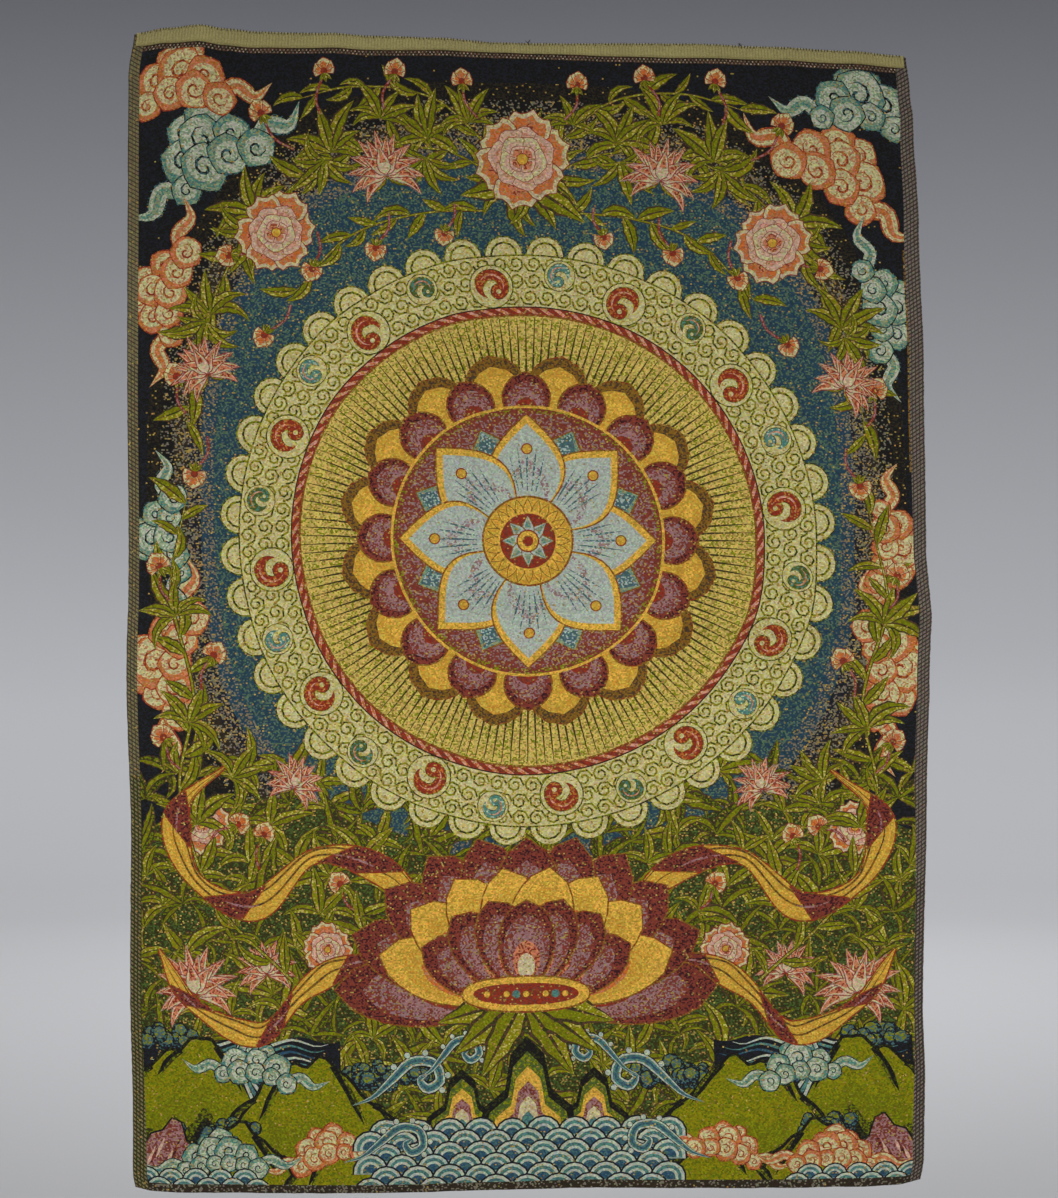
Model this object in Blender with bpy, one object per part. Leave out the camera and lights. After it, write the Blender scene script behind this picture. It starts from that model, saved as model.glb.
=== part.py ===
"""A woven brocade scroll picture, hanging by its top edge, in metres, +Z up, front facing -Y.

The origin is the middle of the top edge, where the hanging is held. The cloth is one sheet whose two
sides and foot are turned back as hems. Its raw top edge is bound by a heading tape folded over it.
"""
from collections import namedtuple
from math import ceil, cos, exp, radians, sin

import bmesh
import bpy

# Driving sizes of the flat cloth
PANEL_WIDTH = 0.600
PANEL_DROP = 0.871
CLOTH = 0.0014             # thickness of the brocade
HEM_WIDTH = 0.012          # how far the hems are turned back
HEM_LAYER = 0.0013         # what the turned-back layer adds behind
HEM_STEP = 0.0012          # over how much that layer ends at its raw edge
EDGE_ROUND = 0.0010        # depth of the rounded edge, where the cloth turns back

# Heading tape, folded over the raw top edge
TAPE_LEG = 0.0092          # how deep it shows on each face
TAPE_CLOTH = 0.0010
TAPE_GAP = 0.0003          # clearance between the tape and the cloth inside it
TAPE_ROUND = 0.0005        # depth of its rounded top fold
TAPE_SHORT = 0.0025        # how far each of its ends stops inside the side edge

# Greatest spacing of the points that carry the folds
STEP_ACROSS = 0.0195
STEP_DOWN = 0.0215

# How far the outline strays from the flat rectangle. "at" is a share of the edge, down a side or
# across from the left, and "out" is how far outwards it lies there.
Stray = namedtuple("Stray", "at out")

LEFT_SIDE = (
    Stray(0.000, -0.0014), Stray(0.035, 0.0028), Stray(0.300, 0.0036), Stray(0.450, 0.0025),
    Stray(0.560, 0.0043), Stray(0.700, 0.0014), Stray(0.830, 0.0021), Stray(0.930, 0.0002),
    Stray(0.985, -0.0004), Stray(1.000, -0.0020),
)
RIGHT_SIDE = (
    Stray(0.000, -0.0125), Stray(0.030, -0.0098), Stray(0.060, -0.0070), Stray(0.150, -0.0024),
    Stray(0.280, 0.0014), Stray(0.435, 0.0030), Stray(0.500, 0.0066), Stray(0.555, 0.0052),
    Stray(0.650, 0.0029), Stray(0.850, -0.0002), Stray(0.905, 0.0014), Stray(0.980, -0.0002),
    Stray(1.000, -0.0022),
)
TOP_EDGE = (
    Stray(0.000, 0.0070), Stray(0.045, 0.0106), Stray(0.085, 0.0118), Stray(0.120, 0.0092),
    Stray(0.160, 0.0080), Stray(0.250, 0.0078), Stray(0.310, 0.0049), Stray(0.390, 0.0036),
    Stray(0.470, 0.0004), Stray(0.500, 0.0000), Stray(0.600, -0.0006), Stray(0.720, -0.0011),
    Stray(0.820, -0.0034), Stray(0.920, -0.0065), Stray(1.000, -0.0104),
)
FOOT_EDGE = (
    Stray(0.000, -0.0022), Stray(0.025, 0.0006), Stray(0.060, 0.0017), Stray(0.350, 0.0016),
    Stray(0.450, 0.0006), Stray(0.620, -0.0010), Stray(0.850, -0.0024), Stray(0.920, -0.0036),
    Stray(0.970, -0.0058), Stray(1.000, -0.0092),
)

# The soft folds of the hanging cloth. Each is a ridge or a trough that runs at its full height for
# its length and fades over half as much again. It leans from level by "lean" degrees, falls away
# over "width" to each side, and stands "lift" towards the front.
Fold = namedtuple("Fold", "x down lean length width lift")

CREASES = (                # from being folded flat for the post
    Fold(x=0.215, down=0.437, lean=2, length=0.20, width=0.0100, lift=0.0032),
    Fold(x=-0.130, down=0.432, lean=-1, length=0.36, width=0.0110, lift=-0.0022),
    Fold(x=0.060, down=0.219, lean=1, length=0.44, width=0.0120, lift=0.0012),
    Fold(x=-0.050, down=0.655, lean=-1, length=0.46, width=0.0120, lift=0.0013),
)
FLUTES = (                 # from hanging, long and nearly upright
    Fold(x=-0.246, down=0.030, lean=82, length=0.13, width=0.0260, lift=0.0085),
    Fold(x=-0.175, down=0.060, lean=78, length=0.20, width=0.0300, lift=-0.0040),
    Fold(x=-0.120, down=0.560, lean=86, length=0.62, width=0.0650, lift=0.0050),
    Fold(x=0.020, down=0.420, lean=91, length=0.80, width=0.0550, lift=-0.0036),
    Fold(x=0.150, down=0.500, lean=95, length=0.70, width=0.0550, lift=0.0044),
    Fold(x=0.282, down=0.300, lean=88, length=0.34, width=0.0240, lift=-0.0050),
    Fold(x=0.285, down=0.640, lean=92, length=0.36, width=0.0260, lift=0.0042),
    Fold(x=-0.288, down=0.300, lean=91, length=0.40, width=0.0220, lift=0.0036),
    Fold(x=-0.285, down=0.700, lean=88, length=0.34, width=0.0240, lift=-0.0034),
)
CURLS = (                  # along the foot and at its corners
    Fold(x=0.285, down=0.862, lean=38, length=0.10, width=0.0220, lift=0.0070),
    Fold(x=-0.290, down=0.868, lean=-35, length=0.08, width=0.0200, lift=0.0040),
    Fold(x=0.060, down=0.868, lean=4, length=0.34, width=0.0140, lift=-0.0026),
)

# Base colour, roughness and metallic share of each piece
FINISHES = {
    "brocade_panel": ((0.30, 0.27, 0.13), 0.62, 0.15),
    "heading_tape": ((0.42, 0.37, 0.16), 0.75, 0.0),
}


def eased(share):
    """A share from 0 to 1 that leaves and arrives gently, held at both ends."""
    share = min(1.0, max(0.0, share))
    return share * share * (3 - 2 * share)


def stray_at(rows, share):
    """The outline's stray at a share of an edge, eased between the rows of its table."""
    for before, after in zip(rows, rows[1:]):
        if share <= after.at:
            return before.out + (after.out - before.out) * eased(
                (share - before.at) / (after.at - before.at))
    return rows[-1].out


def fold_lift(x, down):
    """How far the folds bring a place on the flat cloth towards the front."""
    lift = 0.0
    for fold in (*CREASES, *FLUTES, *CURLS):
        lean = radians(fold.lean)
        right, up = x - fold.x, fold.down - down
        along = right * cos(lean) + up * sin(lean)
        beside = up * cos(lean) - right * sin(lean)
        fade = eased(3 - 4 * abs(along) / fold.length)
        lift += fold.lift * fade * exp(-(beside / fold.width) ** 2)
    return lift


LIFT_AT_ORIGIN = fold_lift(0.0, 0.0)


def hung(x, down):
    """Where a place of the flat cloth, x from its middle line and down from its top edge, hangs."""
    across, drop = x / PANEL_WIDTH + 0.5, down / PANEL_DROP
    left, right = stray_at(LEFT_SIDE, drop), stray_at(RIGHT_SIDE, drop)
    top, foot = stray_at(TOP_EDGE, across), stray_at(FOOT_EDGE, across)
    out = right * across - left * (1 - across)
    up = top * (1 - drop) - foot * drop
    return x + out, LIFT_AT_ORIGIN - fold_lift(x, down), up - down


def layers_at(x, down):
    """The cloth's whole thickness at a place: more where a hem is turned back behind it."""
    from_edge = min(PANEL_WIDTH / 2 - abs(x), PANEL_DROP - down)
    return CLOTH + HEM_LAYER * (from_edge < HEM_WIDTH + HEM_STEP / 2)


def stations(marks, step):
    """All the marks along a length, and evenly spaced places between them, none over step apart."""
    marks = sorted(marks)
    found = [marks[0]]
    for start, end in zip(marks, marks[1:]):
        count = ceil((end - start) / step)
        found += [start + (end - start) * (i + 1) / count for i in range(count)]
    return found


def across_stations(edge_marks):
    """Places across the cloth, from its middle line: the marks in from each edge, and between."""
    half = PANEL_WIDTH / 2
    return stations([side * (half - mark) for mark in edge_marks for side in (-1, 1)], STEP_ACROSS)


HEM_MARKS = (HEM_WIDTH, HEM_WIDTH + HEM_STEP)


def finished_object(mesh, name):
    """An object that carries the finished mesh and the piece's own material."""
    data = bpy.data.meshes.new(name)
    mesh.to_mesh(data)
    mesh.free()
    data.shade_smooth()
    data.set_sharp_from_angle(angle=radians(50))
    colour, roughness, metallic = FINISHES[name]
    material = bpy.data.materials.new(name)
    material.use_nodes = True
    shader = material.node_tree.nodes["Principled BSDF"]
    shader.inputs["Base Color"].default_value = (*colour, 1.0)
    shader.inputs["Roughness"].default_value = roughness
    shader.inputs["Metallic"].default_value = metallic
    data.materials.append(material)
    piece = bpy.data.objects.new(name, data)
    bpy.context.scene.collection.objects.link(piece)
    return piece


def make_panel():
    """The brocade sheet: a front and a back on one grid of stations, that meet in a rounded rim."""
    columns = across_stations((0.0, EDGE_ROUND, TAPE_SHORT, *HEM_MARKS))
    crease_marks = [fold.down + side * fold.width for fold in CREASES for side in (-1, 0, 1)]
    foot_marks = [PANEL_DROP - mark for mark in (0.0, EDGE_ROUND, *HEM_MARKS)]
    raw_edge = TAPE_CLOTH + TAPE_GAP
    rows = stations([raw_edge, TAPE_LEG, *crease_marks, *foot_marks], STEP_DOWN)
    last_column, last_row = len(columns) - 1, len(rows) - 1
    mesh = bmesh.new()
    front, back = {}, {}
    for i, across in enumerate(columns):
        for j, down in enumerate(rows):
            x, y, z = hung(across, down)
            thick = layers_at(across, down)
            if i in (0, last_column) or j == last_row:
                front[i, j] = back[i, j] = mesh.verts.new((x, y + (thick - CLOTH) / 2, z))
            else:
                front[i, j] = mesh.verts.new((x, y - CLOTH / 2, z))
                back[i, j] = mesh.verts.new((x, y - CLOTH / 2 + thick, z))
    for i in range(last_column):
        for j in range(last_row):
            corners = (i, j), (i, j + 1), (i + 1, j + 1), (i + 1, j)
            mesh.faces.new([front[corner] for corner in corners])
            mesh.faces.new([back[corner] for corner in reversed(corners)])
        raw = dict.fromkeys((front[i, 0], front[i + 1, 0], back[i + 1, 0], back[i, 0]))
        mesh.faces.new(list(raw))
    return finished_object(mesh, "brocade_panel")


def tape_section(behind):
    """The tape's outline at one station, all round, as (towards the back, down) from mid-cloth.

    behind is how far the back of the cloth lies behind its middle there.
    """
    front_in, back_in = -CLOTH / 2 - TAPE_GAP, behind + TAPE_GAP
    front_out, back_out = front_in - TAPE_CLOTH, back_in + TAPE_CLOTH
    return (
        (front_in, TAPE_LEG), (front_out, TAPE_LEG), (front_out, TAPE_ROUND),
        (front_out + TAPE_ROUND, 0.0), (back_out - TAPE_ROUND, 0.0),
        (back_out, TAPE_ROUND), (back_out, TAPE_LEG), (back_in, TAPE_LEG),
        (back_in, TAPE_CLOTH), (front_in, TAPE_CLOTH),
    )


def make_heading():
    """The tape: a folded strip astride the raw top edge, that follows the outline and the folds."""
    mesh = bmesh.new()
    rings = []
    for across in across_stations((TAPE_SHORT, *HEM_MARKS)):
        ring = []
        for back, down in tape_section(layers_at(across, 0.0) - CLOTH / 2):
            x, y, z = hung(across, down)
            ring.append(mesh.verts.new((x, y + back, z)))
        rings.append(ring)
    for ring, after in zip(rings, rings[1:]):
        for k, corner in enumerate(ring):
            mesh.faces.new((ring[k - 1], after[k - 1], after[k], corner))
    mesh.faces.new(rings[0])
    mesh.faces.new(list(reversed(rings[-1])))
    return finished_object(mesh, "heading_tape")


for old in list(bpy.data.objects):
    bpy.data.objects.remove(old)
make_panel()
make_heading()
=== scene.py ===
"""A woven brocade scroll picture that hangs by its top edge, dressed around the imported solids.

The cloth and its sewing are in metres. The picture is drawn in millimetres on the flat cloth, with a
complex number for each place: x right of the middle line, and y up from the top edge.
"""

from cmath import rect
from collections import namedtuple
from math import copysign, cos, pi, radians, sin
from random import Random

import bpy
import numpy as np
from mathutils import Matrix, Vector
from mathutils.geometry import delaunay_2d_cdt


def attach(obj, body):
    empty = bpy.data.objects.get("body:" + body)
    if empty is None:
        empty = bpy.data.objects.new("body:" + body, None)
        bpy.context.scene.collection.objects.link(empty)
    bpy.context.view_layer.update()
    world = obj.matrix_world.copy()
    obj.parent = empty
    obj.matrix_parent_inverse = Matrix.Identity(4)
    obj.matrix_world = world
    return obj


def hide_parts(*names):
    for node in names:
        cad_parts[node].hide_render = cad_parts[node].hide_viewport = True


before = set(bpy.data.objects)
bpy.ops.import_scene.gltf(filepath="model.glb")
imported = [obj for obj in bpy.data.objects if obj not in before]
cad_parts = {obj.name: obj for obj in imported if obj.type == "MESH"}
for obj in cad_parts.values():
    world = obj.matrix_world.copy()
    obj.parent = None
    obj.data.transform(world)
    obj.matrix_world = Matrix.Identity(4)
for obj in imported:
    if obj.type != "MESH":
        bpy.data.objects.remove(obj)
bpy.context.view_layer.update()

# ---------------------------------------------------------------- the cloth and how it hangs

PANEL_WIDTH = 0.600
PANEL_DROP = 0.871
CLOTH = 0.0014             # thickness of the brocade
HEM_WIDTH = 0.012          # how far the hems are turned back
HEM_LAYER = 0.0013         # what the turned-back layer adds behind
HEM_STEP = 0.0012          # over how much that layer ends at its raw edge
EDGE_ROUND = 0.0010        # depth of the rounded edge, where the cloth turns back
RAW_EDGE = 0.0013          # where the cloth's own top edge lies, inside the tape

TAPE_LEG = 0.0092          # how deep the heading tape shows on each face
TAPE_CLOTH = 0.0010
TAPE_GAP = 0.0003
TAPE_FACE = -CLOTH / 2 - TAPE_GAP - TAPE_CLOTH     # its front, from the cloth's middle layer
TAPE_HALF = PANEL_WIDTH / 2 - 0.0025               # its ends stop inside the side edges
RIB_PITCH = 0.0024         # of the tape's ribs and of the stitches over the edge

# How far an edge strays outwards, at shares of its length
Stray = namedtuple("Stray", "at out")

LEFT_SIDE = (
    Stray(0.000, -0.0014), Stray(0.035, 0.0028), Stray(0.300, 0.0036), Stray(0.450, 0.0025),
    Stray(0.560, 0.0043), Stray(0.700, 0.0014), Stray(0.830, 0.0021), Stray(0.930, 0.0002),
    Stray(0.985, -0.0004), Stray(1.000, -0.0020))
RIGHT_SIDE = (
    Stray(0.000, -0.0125), Stray(0.030, -0.0098), Stray(0.060, -0.0070), Stray(0.150, -0.0024),
    Stray(0.280, 0.0014), Stray(0.435, 0.0030), Stray(0.500, 0.0066), Stray(0.555, 0.0052),
    Stray(0.650, 0.0029), Stray(0.850, -0.0002), Stray(0.905, 0.0014), Stray(0.980, -0.0002),
    Stray(1.000, -0.0022))
TOP_EDGE = (
    Stray(0.000, 0.0070), Stray(0.045, 0.0106), Stray(0.085, 0.0118), Stray(0.120, 0.0092),
    Stray(0.160, 0.0080), Stray(0.250, 0.0078), Stray(0.310, 0.0049), Stray(0.390, 0.0036),
    Stray(0.470, 0.0004), Stray(0.500, 0.0000), Stray(0.600, -0.0006), Stray(0.720, -0.0011),
    Stray(0.820, -0.0034), Stray(0.920, -0.0065), Stray(1.000, -0.0104))
FOOT_EDGE = (
    Stray(0.000, -0.0022), Stray(0.025, 0.0006), Stray(0.060, 0.0017), Stray(0.350, 0.0016),
    Stray(0.450, 0.0006), Stray(0.620, -0.0010), Stray(0.850, -0.0024), Stray(0.920, -0.0036),
    Stray(0.970, -0.0058), Stray(1.000, -0.0092))
# How much deeper the tape shows on the front, because its seam wanders
TAPE_WANDER = (
    Stray(0.000, 0.0006), Stray(0.030, 0.0020), Stray(0.080, 0.0031), Stray(0.135, 0.0031),
    Stray(0.190, 0.0023), Stray(0.316, 0.0014), Stray(0.395, 0.0000), Stray(0.473, -0.0016),
    Stray(0.550, -0.0010), Stray(0.630, 0.0008), Stray(0.707, 0.0017), Stray(0.785, 0.0010),
    Stray(0.863, 0.0006), Stray(1.000, 0.0003))

# A fold's middle on the flat cloth, its lean in degrees, its length, how soon it fades to its sides,
# and how far it lifts the cloth towards the front
Fold = namedtuple("Fold", "x down lean length width lift")

# Creases from being folded flat for the post
CREASES = (Fold(0.215, 0.437, 2, 0.20, 0.0100, 0.0032), Fold(-0.130, 0.432, -1, 0.36, 0.0110, -0.0022),
           Fold(0.060, 0.219, 1, 0.44, 0.0120, 0.0012), Fold(-0.050, 0.655, -1, 0.46, 0.0120, 0.0013))
FOLDS = CREASES + (
    # flutes from hanging, long and nearly upright
    Fold(-0.246, 0.030, 82, 0.13, 0.0260, 0.0085), Fold(-0.175, 0.060, 78, 0.20, 0.0300, -0.0040),
    Fold(-0.120, 0.560, 86, 0.62, 0.0650, 0.0050), Fold(0.020, 0.420, 91, 0.80, 0.0550, -0.0036),
    Fold(0.150, 0.500, 95, 0.70, 0.0550, 0.0044), Fold(0.282, 0.300, 88, 0.34, 0.0240, -0.0050),
    Fold(0.285, 0.640, 92, 0.36, 0.0260, 0.0042), Fold(-0.288, 0.300, 91, 0.40, 0.0220, 0.0036),
    Fold(-0.285, 0.700, 88, 0.34, 0.0240, -0.0034),
    # curls along the foot and at its corners
    Fold(0.285, 0.862, 38, 0.10, 0.0220, 0.0070), Fold(-0.290, 0.868, -35, 0.08, 0.0200, 0.0040),
    Fold(0.060, 0.868, 4, 0.34, 0.0140, -0.0026))
PUCKER = 0.0003            # small waves that the tape's stitches draw into the cloth
PUCKER_PITCH = 0.027
PUCKER_REACH = 0.030


def eased(share):
    """Shares from 0 to 1 that leave and arrive gently, held at both ends."""
    share = np.clip(share, 0.0, 1.0)
    return share * share * (3 - 2 * share)


def stray_at(rows, share):
    """The stray at shares of an edge, eased between the rows of its table."""
    at, out = np.array(rows).T
    row = np.clip(np.searchsorted(at, share, side="right") - 1, 0, len(at) - 2)
    step = eased((share - at[row]) / (at[row + 1] - at[row]))
    return out[row] + (out[row + 1] - out[row]) * step


def fold_lift(x, down):
    """How far the folds bring places of the flat cloth towards the front."""
    lift = 0.0 * x
    for fold in FOLDS:
        lean = radians(fold.lean)
        right, up = x - fold.x, fold.down - down
        along = right * cos(lean) + up * sin(lean)
        beside = up * cos(lean) - right * sin(lean)
        lift = lift + fold.lift * eased(3 - 4 * abs(along) / fold.length) * np.exp(
            -(beside / fold.width) ** 2)
    return lift


LIFT_AT_ORIGIN = fold_lift(0.0, 0.0)


def hung(x, down, behind=0.0):
    """Where places of the flat cloth hang, so far behind its middle layer."""
    x, down = np.asarray(x, float), np.asarray(down, float)
    across, drop = x / PANEL_WIDTH + 0.5, down / PANEL_DROP
    out = stray_at(RIGHT_SIDE, drop) * across - stray_at(LEFT_SIDE, drop) * (1 - across)
    up = stray_at(TOP_EDGE, across) * (1 - drop) - stray_at(FOOT_EDGE, across) * drop
    pucker = PUCKER * np.sin(2 * pi * x / PUCKER_PITCH) * np.exp(-down / PUCKER_REACH)
    depth = LIFT_AT_ORIGIN - fold_lift(x, down) + pucker + behind
    return np.stack([x + out, depth, up - down], axis=-1)


def facing(x, down, near=0.0006):
    """The unit normals of the cloth's front at places of the flat cloth."""
    right = hung(x + near, down) - hung(x - near, down)
    lower = hung(x, down + near) - hung(x, down - near)
    normal = np.cross(lower, right)
    return normal / np.linalg.norm(normal, axis=-1, keepdims=True)


def tape_depth(x):
    """How deep the heading tape shows on the front at places along the top edge."""
    return TAPE_LEG + stray_at(TAPE_WANDER, x / PANEL_WIDTH + 0.5)


def layers_at(x, down):
    """The cloth's whole thickness at a place: more where a hem is turned back behind it."""
    from_edge = np.minimum(PANEL_WIDTH / 2 - abs(x), PANEL_DROP - down)
    return CLOTH + HEM_LAYER * eased((HEM_WIDTH + HEM_STEP - from_edge) / HEM_STEP)


# ---------------------------------------------------------------- threads and weaves

# Screen colours of the yarns, and how much each gleams like metal
Yarn = namedtuple("Yarn", "red green blue gleam", defaults=(0.0,))

YARNS = {
    "ink": Yarn(27, 26, 23),
    "navy": Yarn(31, 34, 41),
    "blue": Yarn(44, 80, 104),
    "dusk blue": Yarn(40, 70, 86),
    "lichen": Yarn(92, 112, 90),
    "steel": Yarn(74, 106, 108),
    "teal": Yarn(84, 136, 124),
    "pale blue": Yarn(178, 188, 176),
    "ice": Yarn(190, 198, 172),
    "sage": Yarn(142, 160, 124),
    "cream": Yarn(208, 202, 146),
    "straw": Yarn(214, 190, 98),
    "gold": Yarn(212, 166, 58, 0.42),
    "bright gold": Yarn(236, 190, 78, 0.42),
    "old gold": Yarn(140, 104, 34, 0.45),
    "olive": Yarn(138, 136, 6),
    "leaf": Yarn(112, 117, 5),
    "moss": Yarn(56, 56, 22),
    "fern": Yarn(80, 98, 42),
    "orange": Yarn(204, 112, 48),
    "coral": Yarn(206, 130, 92),
    "pink": Yarn(214, 160, 136),
    "blush": Yarn(216, 184, 156),
    "russet": Yarn(146, 52, 30),
    "maroon": Yarn(130, 60, 46),
    "wine": Yarn(70, 28, 32),
    "mauve": Yarn(160, 120, 118),
    "brown": Yarn(86, 62, 42),
    "bark": Yarn(50, 42, 30),
    "dust": Yarn(132, 118, 98),
    "husk": Yarn(70, 63, 47),
    "peat": Yarn(61, 52, 46),
    "sand": Yarn(133, 121, 85),
    "clay": Yarn(130, 118, 105),
}

# What a patch of the picture is woven from: its main yarn, the second one that shows through for a
# share of the threads, the share of gold threads that glint among them, and which way the lines of a
# twill lean (1 falls to the right, -1 rises, and 0 is no twill)
Weave = namedtuple("Weave", "main second share glint lean", defaults=(0.05, 0))

WEAVES = {name: Weave(*row) for name, row in {
    "night": ("navy", "ink", 0.50, 0.002),
    "night glint": ("ink", "bark", 0.40, 0.03),
    "sky rim": ("ink", "dust", 0.20, 0.06),
    "sky glint": ("bark", "dust", 0.34, 0.12),
    "sky dusk": ("navy", "dust", 0.42, 0.12),
    "sky deep": ("dusk blue", "dust", 0.34, 0.07),
    "sky": ("dusk blue", "lichen", 0.36, 0.03),
    "ink line": ("ink", "moss", 0.20, 0.0),
    "leaf edge": ("brown", "moss", 0.45, 0.03),
    "leaf light": ("olive", "straw", 0.20, 0.08),
    "leaf mid": ("leaf", "olive", 0.45, 0.05),
    "leaf dark": ("moss", "leaf", 0.42, 0.04),
    "stem": ("mauve", "russet", 0.40, 0.05),
    "hill edge": ("ink", "moss", 0.45, 0.02),
    "hill low": ("moss", "leaf", 0.45, 0.03),
    "hill": ("leaf", "olive", 0.40, 0.02),
    "hill high": ("olive", "leaf", 0.30, 0.03),
    "tree": ("steel", "olive", 0.40, 0.03),
    "tree dark": ("navy", "steel", 0.34, 0.02),
    "flower line": ("russet", "maroon", 0.30, 0.02),
    "flower deep": ("coral", "russet", 0.25),
    "flower": ("pink", "coral", 0.30, 0.03),
    "flower pale": ("blush", "pink", 0.34, 0.02),
    "flower rim": ("cream", "blush", 0.35),
    "bud": ("orange", "coral", 0.35),
    "bud tip": ("cream", "orange", 0.20),
    "lotus line": ("russet", "mauve", 0.30, 0.02),
    "lotus": ("blush", "cream", 0.40, 0.02),
    "lotus tip": ("coral", "russet", 0.32, 0.03),
    "heart": ("gold", "bright gold", 0.30, 0.0),
    "heart line": ("russet", "old gold", 0.30),
    "warm cloud line": ("russet", "orange", 0.35),
    "warm cloud": ("cream", "coral", 0.22),
    "warm cloud fold": ("coral", "orange", 0.45, 0.10),
    "cool cloud line": ("ink", "steel", 0.35, 0.02),
    "cool cloud": ("ice", "sage", 0.34, 0.02),
    "cool cloud fold": ("sage", "teal", 0.45, 0.03),
    "ring rope": ("russet", "maroon", 0.30),
    "ring rope light": ("pink", "orange", 0.40),
    "scroll ground": ("cream", "straw", 0.26, 0.08),
    "scroll line": ("moss", "olive", 0.45, 0.08),
    "scroll fine": ("olive", "moss", 0.35, 0.08),
    "scroll red": ("russet", "orange", 0.22),
    "scroll green": ("fern", "teal", 0.30),
    "scroll blue": ("teal", "ice", 0.22),
    "glory": ("straw", "olive", 0.26, 0.16),
    "ray": ("moss", "brown", 0.35, 0.08),
    "halo rim": ("maroon", "olive", 0.26, 0.12),
    "halo 1": ("maroon", "mauve", 0.28, 0.10),
    "halo 2": ("maroon", "mauve", 0.44, 0.08),
    "halo 3": ("mauve", "maroon", 0.40, 0.05),
    "halo 4": ("mauve", "pink", 0.36, 0.05),
    "halo 5": ("pink", "mauve", 0.34, 0.05),
    "halo 6": ("blush", "cream", 0.34, 0.05),
    "petal line": ("old gold", "russet", 0.35, 0.10),
    "petal gold": ("bright gold", "gold", 0.35, 0.0),
    "petal blue": ("pale blue", "ice", 0.20, 0.01),
    "petal blue deep": ("pale blue", "mauve", 0.34, 0.02),
    "petal blue vein": ("steel", "pale blue", 0.30, 0.02),
    "petal green": ("sage", "teal", 0.30),
    "seat outer": ("maroon", "wine", 0.30, 0.04),
    "seat mid": ("mauve", "maroon", 0.30, 0.04),
    "seat inner": ("russet", "maroon", 0.35, 0.05),
    "seat heart": ("coral", "russet", 0.35, 0.05),
    "robe": ("gold", "bright gold", 0.30, 0.0),
    "robe fold": ("old gold", "brown", 0.40, 0.0),
    "wave line": ("navy", "ink", 0.35, 0.02),
    "wave deep": ("blue", "steel", 0.40, 0.04),
    "wave": ("teal", "steel", 0.40, 0.04),
    "wave foam": ("ice", "pale blue", 0.35, 0.02),
    "rock": ("fern", "olive", 0.35),
    "rock warm": ("mauve", "maroon", 0.45),
    "thicket": ("moss", "fern", 0.40, 0.10),
    "left edge high": ("husk", "sand", 0.70, 0.01, 1),
    "left edge": ("husk", "sand", 0.60, 0.01, 1),
    "left edge low": ("moss", "sand", 0.52, 0.01, 1),
    "right edge": ("peat", "clay", 0.62, 0.0, -1),
    "right edge low": ("peat", "clay", 0.52, 0.0, -1),
    "right rim": ("brown", "russet", 0.35, 0.0),
    "foot edge": ("bark", "dust", 0.24, 0.01),
    "top strip": ("brown", "bark", 0.50, 0.0),
    "strip dot": ("clay", "blush", 0.30, 0.0),
    "gold line": ("old gold", "bark", 0.40, 0.10),
    "reverse light": ("sand", "straw", 0.30, 0.02),
    "reverse mid": ("dust", "olive", 0.40, 0.02),
    "reverse dark": ("brown", "steel", 0.35, 0.02),
}.items()}
WEAVE_NAMES = list(WEAVES)


def linear(level):
    """The light that a screen level from 0 to 255 stands for, from 0 to 1."""
    share = level / 255
    return share / 12.92 if share <= 0.04045 else ((share + 0.055) / 1.055) ** 2.4


def yarn_values(name):
    """A yarn's colour as light, and its gleam."""
    *screen, gleam = YARNS[name]
    return [*map(linear, screen), gleam]


# ---------------------------------------------------------------- drawing tools, in millimetres

rng = Random(29)
vary = rng.uniform


def turned(degrees, length=1.0):
    return rect(length, radians(degrees))


def circle(centre, radius, count):
    return [centre + turned(360 * k / count, radius) for k in range(count)]


def arc(radius, start, end, count):
    return [turned(start + (end - start) * k / (count - 1), radius) for k in range(count)]


def box(left, low, right, high):
    return [complex(left, low), complex(right, low), complex(right, high), complex(left, high)]


def squared_oval(centre, wide, high, power, count=60):
    """A closed oval whose corners fill out more the higher its power."""
    places = []
    for k in range(count):
        across, up = cos(2 * pi * k / count), sin(2 * pi * k / count)
        places.append(centre + complex(copysign(abs(across) ** (2 / power), across) * wide,
                                       copysign(abs(up) ** (2 / power), up) * high))
    return places


def curve(knots, count):
    """A smooth path of so many places, through the knots."""
    path = np.array([2 * knots[0] - knots[1], *knots, 2 * knots[-1] - knots[-2]])
    share = np.linspace(0, len(knots) - 1, count)
    first = np.minimum(share.astype(int), len(knots) - 2)
    t = share - first
    a, b, c, d = path[first], path[first + 1], path[first + 2], path[first + 3]
    return b + 0.5 * t * ((c - a) + t * ((2 * a - 5 * b + 4 * c - d) + t * (3 * b - a - 3 * c + d)))


def spiral(outer, inner, turns, count):
    """A path that winds in from an outer radius, on the +x axis, to an inner one."""
    share = np.linspace(0, 1, count)
    return (outer + (inner - outer) * share) * np.exp(2j * pi * turns * share)


def sideways(path):
    """Unit steps to the left of a path, one at each of its places."""
    along = np.gradient(np.asarray(path))
    return 1j * along / np.maximum(abs(along), 1e-9)


def strip(one, other):
    """The outline of what lies between two paths."""
    return [*one, *other[::-1]]


def lens(one, other):
    """The outline of what lies between two paths that meet at both ends."""
    return [*one, *other[-2:0:-1]]


def swept(outline):
    """Twice the area inside a closed outline, less than nothing if it runs clockwise."""
    return np.sum(outline.conj() * np.roll(outline, -1)).imag


def grown(outline, width):
    """A closed outline moved outwards by a width."""
    outline = np.asarray(outline)
    along = np.roll(outline, -1) - np.roll(outline, 1)
    turn = copysign(1, swept(outline))
    return outline - 1j * turn * width * along / np.maximum(abs(along), 1e-9)


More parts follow.
